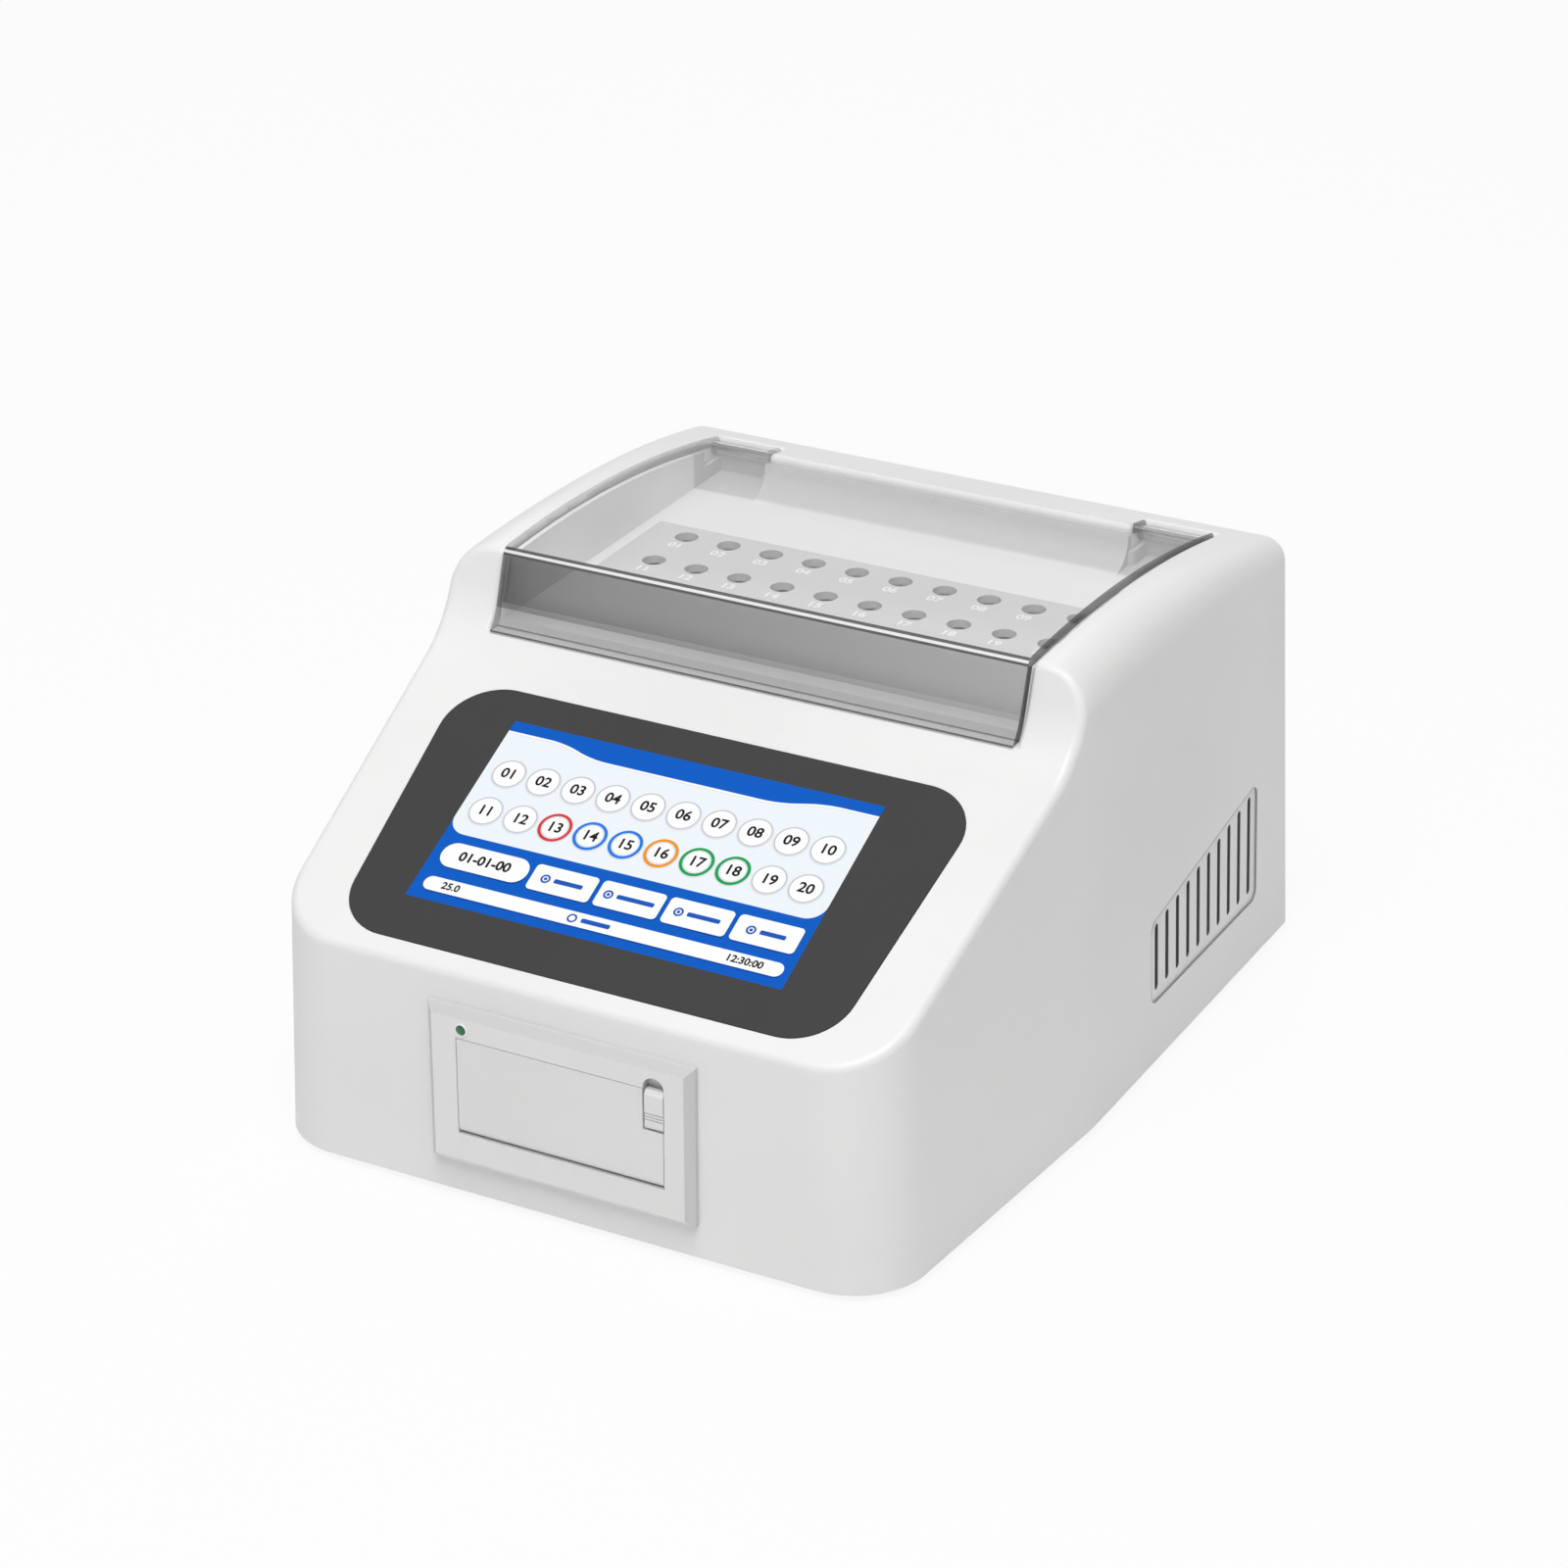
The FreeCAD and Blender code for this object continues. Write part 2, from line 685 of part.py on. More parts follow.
# Screw bosses along both side walls
BOSS_ROWS = [s.boss_front, s.crease_y + 18, s.housing_depth - s.boss_rear]
SCREW_SPOTS = [(side * (wall_inside(y) - s.boss_inset), y) for y in BOSS_ROWS for side in (1, -1)]
bosses = []
screw_holes = []
for i, (x, y) in enumerate(SCREW_SPOTS):
    bosses.append(rod("boss_%d" % i, "boss_radius", "boss_height", str(x), str(y), "base_thickness"))
    screw_holes.append(rod("screw_hole_%d" % i, "screw_shank", "boss_height", str(x), str(y), "-1"))
boss_rods = doc.addObject("Part::Common", "boss_rods")
boss_rods.Base = fuse("boss_set", bosses)
boss_rods.Tool = outer

solid_shell = fuse("solid_shell", [soft_shell, rear_rim, boss_rods])
openings = [deck_window, display_seat, display_window, printer_hole, vents, rear_window, panel_seat]
housing = cut("housing_cut", solid_shell, openings + pin_holes + screw_holes + rim_holes)
keep(housing, "housing")

# Base plate: folded sheet steel under the housing, with screws and rubber feet


def base_outline():
    inset = s.wall + s.base_gap
    side = half_width - inset
    narrow = side - (s.crease_y - inset) * math.tan(taper)
    points = [(-narrow, inset), (narrow, inset), (side, s.crease_y), (side, s.housing_depth - inset),
              (-side, s.housing_depth - inset), (-side, s.crease_y)]
    front = s.front_corner - inset
    return outline(points, [front, front, s.crease_blend, 2, 2, s.crease_blend])


FOOT_SPOTS = {
    "foot_front_left": (-1, s.foot_inset_y),
    "foot_front_right": (1, s.foot_inset_y),
    "foot_rear_left": (-1, s.housing_depth - s.foot_inset_y),
    "foot_rear_right": (1, s.housing_depth - s.foot_inset_y),
}
foot_x = half_width - s.foot_inset_x
base = new_body("base_plate_body")
base_drawing = sketch(base, "base_sketch", "XY_Plane")
trace(base_drawing, base_outline())
pad(base, base_drawing, "base_thickness")
peg_drawing = sketch(base, "peg_sketch", "XY_Plane")
for side, y in FOOT_SPOTS.values():
    disc(peg_drawing, "foot_radius/3", side * foot_x, y)
pocket(base, peg_drawing, "base_thickness", back=True)
shank_drawing = sketch(base, "shank_sketch", "XY_Plane")
for x, y in SCREW_SPOTS:
    disc(shank_drawing, "screw_shank", x, y)
pocket(base, shank_drawing, "base_thickness", back=True)
keep(base, "base_plate")

for name, (side, y) in FOOT_SPOTS.items():
    sole = rod(name + "_sole", "foot_radius", "foot_height", str(side * foot_x), str(y), "-foot_height")
    peg = rod(name + "_peg", "foot_radius/3", "base_thickness", str(side * foot_x), str(y), "0")
    barb = rod(name + "_barb", "foot_radius/2", "1.5", str(side * foot_x), str(y), "base_thickness")
    keep(fuse(name + "_body", [sole, peg, barb]), name)

screws = []
for i, (x, y) in enumerate(SCREW_SPOTS):
    head = rod("head_%d" % i, "screw_head", "screw_head_height", str(x), str(y), "-screw_head_height")
    shank = rod("shank_%d" % i, "screw_shank", "14", str(x), str(y), "0")
    screws.append(fuse("base_screw_%d" % i, [head, shank]))
keep(group("base_screw_set", screws), "base_screws")

# Sample well: the dark tray that lines it and the grey deck with the tube holes


def behind_pane(gap):
    """The space behind the lid's front pane, as a big block."""
    shift = (s.lid_thickness + gap) / math.cos(lean)
    low, high = s.ledge_height - 5, s.rim_crown + 20
    points = [(pane_y(low) + shift, low), (s.housing_depth, low), (s.housing_depth, high),
              (pane_y(high) + shift, high)]
    return prism(outline(points, 0, side_view), ACROSS)


def under_lid(gap):
    foot = Vector(-s.housing_width, s.crown_y, s.lid_crown - s.lid_radius)
    return Part.makeCylinder(s.lid_radius - s.lid_thickness - gap, 2 * s.housing_width, foot, Vector(1, 0, 0))


def tray_form():
    """A tray with a sweep up to its rear wall and room for the lid's ears beside the tongue."""
    inset = s.tray_gap + s.tray_wall
    block = prism(well_outline(s.tray_gap), Vector(0, 0, 2 * s.well_depth))
    block = block.common(behind_pane(s.lid_gap)).common(under_lid(s.lid_gap + 0.2))
    floor = s.ledge_height + s.tray_floor
    room = prism(well_outline(inset), Vector(0, 0, 2 * s.well_depth))
    room.translate(Vector(0, 0, s.tray_floor))
    tray = block.cut(room)
    rear = s.tongue_y - inset
    ramp = Part.makeBox(s.well_width - 2 * inset, s.tray_ramp, s.tray_ramp,
                        Vector(inset - s.well_width / 2, rear - s.tray_ramp, floor))
    sweep = Part.makeCylinder(s.tray_ramp, s.well_width, Vector(-s.well_width / 2, rear - s.tray_ramp,
                                                               floor + s.tray_ramp), Vector(1, 0, 0))
    ramp = ramp.cut(sweep)
    ramp = ramp.common(Part.makeBox(s.tongue_width, BIG, BIG, Vector(-s.tongue_width / 2, 0, 0)))
    tray = tray.fuse(ramp)
    ear_corner = (s.tongue_y - s.wall, hinge_z - s.bead_radius - s.ear_gap)
    ears = Part.makeBox(s.well_width, BIG, BIG, Vector(-s.well_width / 2, *ear_corner))
    between = Part.makeBox(s.tongue_width, BIG, BIG, Vector(-s.tongue_width / 2, *ear_corner))
    return tray.cut(ears.cut(between))


tray_block = fixed("tray_block", tray_form())
tray_window = box("tray_window", "deck_width + 2*deck_gap", "deck_depth + 2*deck_gap", "9*tray_floor",
                  "-deck_width/2 - deck_gap", "deck_front - deck_gap", "ledge_height - tray_floor")
keep(cut("tray_cut", tray_block, [tray_window]), "well_tray")


def repeat(body, feature, drawing, axis, pitch, count):
    """Repeat a feature in a straight row."""
    row = body.newObject("PartDesign::LinearPattern", feature.Name + "_row")
    row.Originals = [feature]
    row.Direction = (drawing, [axis])
    row.Occurrences = count
    bind(row, "Length", "(%d - 1)*%s" % (count, pitch))
    body.Tip = row
    return row


ROWS_MIDDLE = "row_front + row_pitch/2"


def plate_with_tubes(name, width, depth, thickness, height, radius, hole_depth=None, centre=ROWS_MIDDLE):
    """A level plate with two rows of ten holes for the tubes."""
    body = new_body(name + "_body")
    drawing = sketch(body, name + "_sketch", "XY_Plane", "0", centre, height)
    rectangle(drawing, width, depth)
    pad(body, drawing, thickness)
    top = height + " + " + thickness
    holes = sketch(body, name + "_holes", "XY_Plane", "-4.5*hole_pitch", ROWS_MIDDLE, top)
    disc(holes, radius, 0, s.row_pitch / 2)
    disc(holes, radius, 0, -s.row_pitch / 2)
    sunk = pocket(body, holes, hole_depth)
    doc.recompute()
    repeat(body, sunk, holes, "H_Axis", "hole_pitch", 10)
    return body


deck = plate_with_tubes("tube_deck", "deck_width", "deck_depth", "deck_thickness", "ledge_height", "hole_radius",
                        centre="deck_front + deck_depth/2")
keep(deck, "tube_deck")

# Tube rack under the deck, and the unit that scans the tubes

rack_y = s.row_front + s.row_pitch / 2
guide_x = s.guide_span / 2
column_x = s.rack_width / 2 - s.column_inset
column_y = s.rack_depth / 2 - s.column_inset
top_height = "ledge_height - wall - rack_plate"


def rack_holes(body, name, height):
    """Holes for the columns, the guide rods and the lead screw."""
    drawing = sketch(body, name, "XY_Plane", "0", ROWS_MIDDLE, height)
    for x in (-column_x, column_x):
        for y in (-column_y, column_y):
            disc(drawing, "column_radius", x, y)
    disc(drawing, "guide_radius", -guide_x)
    disc(drawing, "guide_radius", guide_x)
    disc(drawing, "screw_radius + running_gap")
    pocket(body, drawing)


top_plate = plate_with_tubes("rack_top_plate", "rack_width", "rack_depth", "rack_plate", top_height,
                             "hole_radius + 0.2")
rack_holes(top_plate, "top_plate_holes", top_height + " + rack_plate")
keep(top_plate, "rack_top_plate")
socket_plate = plate_with_tubes("rack_socket_plate", "rack_width", "rack_depth", "rack_plate",
                                "socket_height", "hole_radius", "socket_depth")
rack_holes(socket_plate, "socket_plate_holes", "socket_height + rack_plate")
keep(socket_plate, "rack_socket_plate")

column_spots = [(x, rack_y + y) for x in (-column_x, column_x) for y in (-column_y, column_y)]
columns = [rod("column_%d" % i, "column_radius", "ledge_height - wall - base_thickness", str(x), str(y),
               "base_thickness") for i, (x, y) in enumerate(column_spots)]
keep(group("column_set", columns), "rack_columns")
guides = [rod("guide_%d" % i, "guide_radius", "ledge_height - wall - socket_height", str(x), str(rack_y),
              "socket_height") for i, x in enumerate((-guide_x, guide_x))]
keep(group("guide_set", guides), "guide_rods")

carriage_low = "socket_height + rack_plate + 4"
board_low = carriage_low + " + carriage_plate"
carriage = new_body("scan_carriage_body")
carriage_drawing = sketch(carriage, "carriage_sketch", "XY_Plane", "0", ROWS_MIDDLE, carriage_low)
rectangle(carriage_drawing, "carriage_width", "carriage_depth")
pad(carriage, carriage_drawing, "carriage_plate")
for i, y in enumerate(("row_front", "row_front + row_pitch")):
    slot_drawing = sketch(carriage, "slot_sketch_%d" % i, "XY_Plane", "0", y, board_low)
    rectangle(slot_drawing, "guide_span - 10", "carriage_slot - 0.6")
    pocket(carriage, slot_drawing)
bore_drawing = sketch(carriage, "bore_sketch", "XY_Plane", "0", ROWS_MIDDLE, board_low)
disc(bore_drawing, "guide_radius + running_gap", -guide_x)
disc(bore_drawing, "guide_radius + running_gap", guide_x)
disc(bore_drawing, "screw_radius + running_gap")
pocket(carriage, bore_drawing)
keep(carriage, "scan_carriage")

emitters = [box("emitter_%d" % i, "guide_span/2 - 15", "board_thickness", "scan_board_height", x,
                ROWS_MIDDLE + " - board_thickness/2", board_low) for i, x in enumerate(("8", "7 - guide_span/2"))]
keep(group("emitter_set", emitters), "emitter_boards")
sensor_places = {"front": "row_front - carriage_slot/2 - 3", "rear": "row_front + row_pitch + carriage_slot/2 + 1.4"}
for name, y in sensor_places.items():
    keep(box("sensor_%s_form" % name, "guide_span - 14", "board_thickness", "scan_board_height",
             "7 - guide_span/2", y, board_low), "sensor_board_" + name)
nut_block = rod("nut_block", "nut_radius - 0.2", "8", "0", str(rack_y), board_low)
nut_bore = rod("nut_bore", "screw_radius + running_gap", "8", "0", str(rack_y), board_low)
keep(cut("nut_form", nut_block, [nut_bore]), "screw_nut")
keep(rod("lead_screw_form", "screw_radius", "ledge_height - wall - socket_height + 1.5", "0", str(rack_y),
         "socket_height - 2"), "lead_screw")
motor_block = box("motor_block", "motor_width", "motor_width", "motor_height", "-motor_width/2",
                  ROWS_MIDDLE + " - motor_width/2", "socket_height - motor_height")
motor_edge = rounded("motor_edge", motor_block, "wall", lambda spot: 12 < spot.z < 37, "Part::Chamfer")
motor_bore = rod("motor_bore", "screw_radius + running_gap", "3", "0", str(rack_y), "socket_height - 3")
keep(cut("motor_form", motor_edge, [motor_bore]), "scan_motor")

# Electronics on the base plate

main_board = new_body("main_board_body")
board_drawing = sketch(main_board, "board_sketch", "XY_Plane", "board_right - board_width/2", "board_middle",
                       "base_thickness + board_lift")
rectangle(board_drawing, "board_width", "board_depth")
pad(main_board, board_drawing, "board_thickness")
keep(main_board, "main_board")
across = ("board_right - standoff_inset", "board_right - board_width + standoff_inset")
along = ("board_middle - board_depth/2 + standoff_inset", "board_middle + board_depth/2 - standoff_inset")
standoff_spots = [(x, y) for x in across for y in along]
standoffs = [rod("standoff_%d" % i, "wall", "board_lift", x, y, "base_thickness")
             for i, (x, y) in enumerate(standoff_spots)]
keep(group("standoff_set", standoffs), "board_standoffs")
supply = box("supply_form", "supply_width", "supply_depth", "supply_height", "supply_x", "supply_y",
             "base_thickness")
keep(supply, "power_supply")

# Rear panel with its sockets, switch and fan

panel_back = "panel_face_y - panel_thickness"
rear_panel = new_body("rear_panel_body")
panel_drawing = sketch(rear_panel, "panel_sketch", "XZ_Plane", "0", "panel_low + panel_height/2",
                       "-(panel_face_y)")
rectangle(panel_drawing, "panel_width", "panel_height")
pad(rear_panel, panel_drawing, "panel_thickness")


def panel_hole(name, x, z, width, height):
    drawing = sketch(rear_panel, name, "XZ_Plane", x, z, "-(" + panel_back + ")")
    rectangle(drawing, width, height)
    return pocket(rear_panel, drawing, "2*panel_thickness")


panel_hole("inlet_hole", "inlet_x", "inlet_z", "27.4", "20")
panel_hole("switch_hole", "inlet_x", "switch_z", "19.4", "13")
panel_hole("serial_hole", "-port_x", "switch_z", "19.4", "10.4")
panel_hole("usb_hole", "-port_x", "inlet_z", "12.6", "11.4")
fan_drawing = sketch(rear_panel, "fan_hole", "XZ_Plane", "0", "fan_z", "-(" + panel_back + ")")
disc(fan_drawing, "fan_bore")
for x in (-25.0, 25.0):
    for z in (-25.0, 25.0):
        disc(fan_drawing, "screw_shank", x, z)
pocket(rear_panel, fan_drawing, "2*panel_thickness")
screw_drawing = sketch(rear_panel, "panel_screw_holes", "XZ_Plane", "0", "0", "-(" + panel_back + ")")
for x, z in PANEL_SCREWS:
    disc(screw_drawing, "screw_shank - 0.5", x, z)
pocket(rear_panel, screw_drawing, "2*panel_thickness")
keep(rear_panel, "rear_panel")

inlet_flange = box("inlet_flange", "31", "2", "24", "inlet_x - 15.5", "panel_face_y", "inlet_z - 12")
inlet_flange = rounded("inlet_corner", inlet_flange, "wall", lambda spot: abs(spot.y - s.panel_face_y - 1) < 0.1
                       and abs(spot.x - s.inlet_x) > 15, "Part::Chamfer")
inlet_block = box("inlet_block", "27", "18", "19.6", "inlet_x - 13.5", "panel_face_y - 18", "inlet_z - 9.8")
inlet_room = box("inlet_room", "24", "17", "16.5", "inlet_x - 12", "panel_face_y - 14", "inlet_z - 8.25")
inlet_pins = [box("inlet_pin_%d" % i, "2", "11", "4", "inlet_x - 1 + %d" % x, "panel_face_y - 14",
                  "inlet_z - 2 + %d" % z) for i, (x, z) in enumerate(((-7, -1), (7, -1), (0, 3)))]
inlet_hull = cut("inlet_hull", fuse("inlet_solid", [inlet_flange, inlet_block]), [inlet_room])
keep(fuse("inlet_form", [inlet_hull] + inlet_pins), "power_inlet")

switch_flange = box("switch_flange", "21", "1.5", "15", "inlet_x - 10.5", "panel_face_y", "switch_z - 7.5")
switch_block = box("switch_block", "19", "14", "12.6", "inlet_x - 9.5", "panel_face_y - 14", "switch_z - 6.3")
switch_room = box("switch_room", "17.4", "12.5", "10.8", "inlet_x - 8.7", "panel_face_y - 10", "switch_z - 5.4")
axle_hole = rod("axle_hole", "small_pin", "18.6", "inlet_x - 9.3", "panel_face_y - 3", "switch_z", "x")
switch_solid = fuse("switch_solid", [switch_flange, switch_block])
keep(cut("switch_form", switch_solid, [switch_room, axle_hole]), "switch_body")


def rocker_form():
    """A rocker with a shallow V in its face, one end pressed in."""
    pivot_y, pivot_z = s.panel_face_y - 3, s.switch_z
    points = [(5.2, 4.3), (2.6, 0.0), (5.2, -4.3), (-1.0, -4.3), (-4.6, -1.6), (-4.6, 1.6), (-1.0, 4.3)]
    edges = outline([(pivot_y + y, pivot_z + z) for y, z in points], [0.8, 4, 0.8, 0.8, 1, 1, 0.8],
                    lambda y, z: Vector(s.inlet_x - 8.4, y, z))
    rocker = prism(edges, Vector(16.8, 0, 0))
    axle = Part.makeCylinder(s.small_pin - s.running_gap, 18.2, Vector(s.inlet_x - 9.1, pivot_y, pivot_z),
                             Vector(1, 0, 0))
    rocker = rocker.fuse(axle)
    rocker.rotate(Vector(0, pivot_y, pivot_z), Vector(1, 0, 0), 8)
    return rocker


keep(fixed("rocker_form", rocker_form()), "power_rocker")

serial_flange = box("serial_flange", "31", "0.8", "12.5", "-port_x - 15.5", "panel_face_y", "switch_z - 6.25")
serial_shell = box("serial_shell", "17", "6", "8.4", "-port_x - 8.5", "panel_face_y - 2", "switch_z - 4.2")
serial_room = box("serial_room", "15.8", "5.2", "7.2", "-port_x - 7.9", "panel_face_y", "switch_z - 3.6")
serial_block = box("serial_block", "19", "10", "10", "-port_x - 9.5", "panel_face_y - 10", "switch_z - 5")
serial_solid = fuse("serial_solid", [serial_flange, serial_shell, serial_block])
contact_spots = [(2.7 * k - 5.4, 1.4) for k in range(5)] + [(2.7 * k - 4.05, -1.4) for k in range(4)]
contacts = [rod("contact_%d" % i, "0.5", "3", "-port_x + %.2f" % x, "panel_face_y - 0.5", "switch_z + %.2f" % z, "y")
            for i, (x, z) in enumerate(contact_spots)]
keep(fuse("serial_form", [cut("serial_hull", serial_solid, [serial_room])] + contacts), "serial_port")

usb_shell = box("usb_shell", "12", "16", "10.9", "-port_x - 6", "panel_face_y - 14", "inlet_z - 5.45")
usb_room = box("usb_room", "10.8", "12", "9.7", "-port_x - 5.4", "panel_face_y - 9", "inlet_z - 4.85")
usb_tongue = box("usb_tongue", "5.6", "9", "3.2", "-port_x - 2.8", "panel_face_y - 9.5", "inlet_z - 1.6")
usb_lip = box("usb_lip", "14", "0.6", "12.9", "-port_x - 7", "panel_face_y", "inlet_z - 6.45")
usb_hull = cut("usb_hull", fuse("usb_solid", [usb_shell, usb_lip]), [usb_room])
keep(fuse("usb_form", [usb_hull, usb_tongue]), "usb_port")

fan_back = "panel_face_y - panel_thickness - fan_depth"
fan_block = box("fan_block", "fan_width", "fan_depth", "fan_width", "-fan_width/2", fan_back, "fan_z - fan_width/2")
fan_block = rounded("fan_corners", fan_block, "wall", lambda spot: abs(abs(spot.x) - s.fan_width / 2) < 0.1
                    and abs(abs(spot.z - s.fan_z) - s.fan_width / 2) < 0.1)
fan_tunnel = rod("fan_tunnel", "fan_bore", "fan_depth", "0", fan_back, "fan_z", "y")
fan_shell = cut("fan_shell", fan_block, [fan_tunnel])
stator = rod("stator", "fan_hub", "3", "0", fan_back, "fan_z", "y")
spokes = [box("spoke_0", "2*fan_bore + 1", "2.5", "3", "-fan_bore - 0.5", fan_back, "fan_z - 1.5"),
          box("spoke_1", "3", "2.5", "2*fan_bore + 1", "-1.5", fan_back, "fan_z - fan_bore - 0.5")]
fan_screw_holes = [rod("fan_screw_hole_%d" % i, "screw_shank", "fan_depth", str(x), fan_back, "fan_z + %d" % z, "y")
                   for i, (x, z) in enumerate([(a, b) for a in (-25, 25) for b in (-25, 25)])]
fan_axle_bore = rod("fan_axle_bore", "screw_shank + running_gap", "3", "0", fan_back, "fan_z", "y")
keep(cut("fan_frame_form", fuse("fan_solid", [fan_shell, stator] + spokes), fan_screw_holes + [fan_axle_bore]),
     "fan_frame")


def rotor_form():
    """A hub with seven twisted blades."""
    start = s.panel_face_y - s.panel_thickness - s.fan_depth + 3.5
    along = Vector(0, 1, 0)
    centre = Vector(0, start, s.fan_z)
    hub = Part.makeCylinder(s.fan_hub, 10.5, centre, along)
    rotor = hub.fuse(Part.makeCylinder(s.screw_shank, 3.2, centre - Vector(0, 3.2, 0), along))
    blades = []
    for i in range(7):
        blade = Part.makeBox(1.4, 11.5, s.fan_tip + 3, Vector(-0.7, -5.75, 0))
        blade.rotate(Vector(), Vector(0, 0, 1), 38)
        blade.translate(centre + Vector(0, 5.25, 0))
        blade.rotate(centre, along, 360.0 * i / 7)
        blades.append(blade)
    ring = Part.makeCylinder(s.fan_tip, 9.7, centre + Vector(0, 0.4, 0), along)
    return rotor.fuse([blade.common(ring) for blade in blades])


keep(fixed("rotor_form", rotor_form()), "fan_rotor")

guard_rings = []
for i, radius in enumerate((9.0, 15.5, 22.0, 28.5)):
    wide = rod("guard_rim_%d" % i, "%g + guard_wire/2" % radius, "guard_wire", "0", "panel_face_y", "fan_z", "y")
    hole = rod("guard_hole_%d" % i, "%g - guard_wire/2" % radius, "guard_wire", "0", "panel_face_y", "fan_z", "y")
    guard_rings.append(cut("guard_ring_%d" % i, wide, [hole]))
guard_bars = []
for i, turn in enumerate((45, 135)):
    bar = doc.addObject("Part::Box", "guard_bar_%d" % i)
    for prop, text in (("Length", "72"), ("Width", "guard_wire"), ("Height", "guard_wire")):
        bind(bar, prop, text)
    half = Rotation(Vector(0, 1, 0), turn).multVec(Vector(-36, 0, -s.guard_wire / 2))
    bar.Placement = Placement(Vector(0, s.panel_face_y, s.fan_z) + half, Rotation(Vector(0, 1, 0), turn))
    guard_bars.append(bar)
guard_screws = []
for i, (x, z) in enumerate([(a, b) for a in (-25, 25) for b in (-25, 25)]):
    guard_screws.append(rod("guard_head_%d" % i, "screw_head - 0.2", "guard_wire + 1", str(x), "panel_face_y",
                            "fan_z + %d" % z, "y"))
    guard_screws.append(rod("guard_shank_%d" % i, "screw_shank", "9", str(x), "panel_face_y - 9",
                            "fan_z + %d" % z, "y"))
keep(fuse("guard_form", guard_rings + guard_bars + guard_screws), "fan_guard")

# Display: black glass set flush in the slope, with the display module and its bracket behind it

glass = new_body("touch_glass_body")
glass_drawing = sketch(glass, "glass_sketch", "XY_Plane", "0", "0", "glass_proud - glass_thickness")
trace(glass_drawing, glass_outline(0))
glass_pad = pad(glass, glass_drawing, "glass_thickness")
keep(glass, "touch_glass", SLOPE)

lcd = new_body("lcd_panel_body")
lcd_drawing = sketch(lcd, "lcd_sketch", "XY_Plane", "lcd_x", "lcd_centre", "-wall - lcd_thickness")
rectangle(lcd_drawing, "lcd_width", "lcd_length")
pad(lcd, lcd_drawing, "lcd_thickness")
keep(lcd, "lcd_panel", SLOPE)

bracket = new_body("display_bracket_body")
bracket_drawing = sketch(bracket, "bracket_sketch", "XY_Plane", "lcd_x", "lcd_centre",
                         "-wall - lcd_thickness - lcd_bracket")
rectangle(bracket_drawing, "lcd_width + 16", "lcd_length - 12")
pad(bracket, bracket_drawing, "lcd_bracket")
leg_drawing = sketch(bracket, "leg_sketch", "XY_Plane", "lcd_x", "lcd_centre", "-wall - lcd_thickness")
for x in (-86.5, 86.5):
    for y in (-36.0, 36.0):
        disc(leg_drawing, "wall", x, y)
pad(bracket, leg_drawing, "lcd_thickness")
keep(bracket, "display_bracket", SLOPE)

# Panel printer: frame, paper bay, hinged door with the platen, latch and status light

frame_flange = box("frame_flange", "printer_width", "printer_proud", "printer_height",
                   "-printer_width/2", "-printer_proud", "printer_z - printer_height/2")
frame_flange = rounded("frame_bevel", frame_flange, "printer_bevel", lambda spot: spot.y < 0.1 - s.printer_proud,
                       "Part::Chamfer")
collar_width = "cutout_width - 2*collar_gap"
collar = box("collar", collar_width, "collar_depth - bay_wall", "cutout_height - 2*collar_gap",
             "collar_gap - cutout_width/2", "0", "printer_z - cutout_height/2 + collar_gap")
door_room = box("door_room", "door_left + door_right + 2*door_gap", "4*door_thickness",
                "door_high - door_low + 2*door_gap", "-door_left - door_gap", "-2*door_thickness",
                "door_low - door_gap")
latch_left = "door_right - latch_width - 0.2"
latch_backing = box("latch_backing", "latch_width + 5", "collar_depth - bay_wall + printer_proud - latch_recess",
                    "door_high - latch_low + 6", latch_left, "latch_recess - printer_proud",
                    "latch_low - door_gap/2")


def latch_room_form():
    """The recess the latch sits in: straight sides and a round top."""
    left = s.door_right - s.latch_width - 0.2 - 0.2
    right = s.door_right + s.door_gap + 0.2
    low, high = s.latch_low - s.door_gap, 72.6
    points = [(left, low), (right, low), (right, high), (left, high)]
    half = (right - left) / 2 - 0.01
    edges = outline(points, [0, 0, half, half], lambda x, z: Vector(x, -2 * s.printer_proud, z))
    return prism(edges, Vector(0, s.printer_proud + s.latch_recess, 0))


latch_room = fixed("latch_room", latch_room_form())
led_bore = rod("led_bore", "led_radius", "4*printer_proud", "-led_x", "-2*printer_proud", "led_z", "y")
pin_spots = (("left", "-door_left - 4"), ("right", "door_right - 5"))
door_axis_y = "door_thickness/2 - printer_proud"
door_axis_z = "door_low + door_thickness/2"
door_pins = [rod("door_pin_" + side, "small_pin", "9", x, door_axis_y, door_axis_z, "x") for side, x in pin_spots]
latch_axis_y = "latch_thickness/2 - printer_proud"
latch_axis_z = "latch_low + latch_thickness/2"
latch_pin = rod("latch_pin_form", "small_pin", "10", "door_right - 6", latch_axis_y, latch_axis_z, "x")
frame_solid = cut("frame_open", fuse("frame_solid", [frame_flange, collar]), [door_room])
frame_backed = fuse("frame_backed", [frame_solid, latch_backing])
keep(cut("frame_form", frame_backed, [latch_room, led_bore] + door_pins + [latch_pin]), "printer_frame")
keep(group("door_pin_set", door_pins), "door_hinge_pins")
keep(latch_pin, "latch_pin")

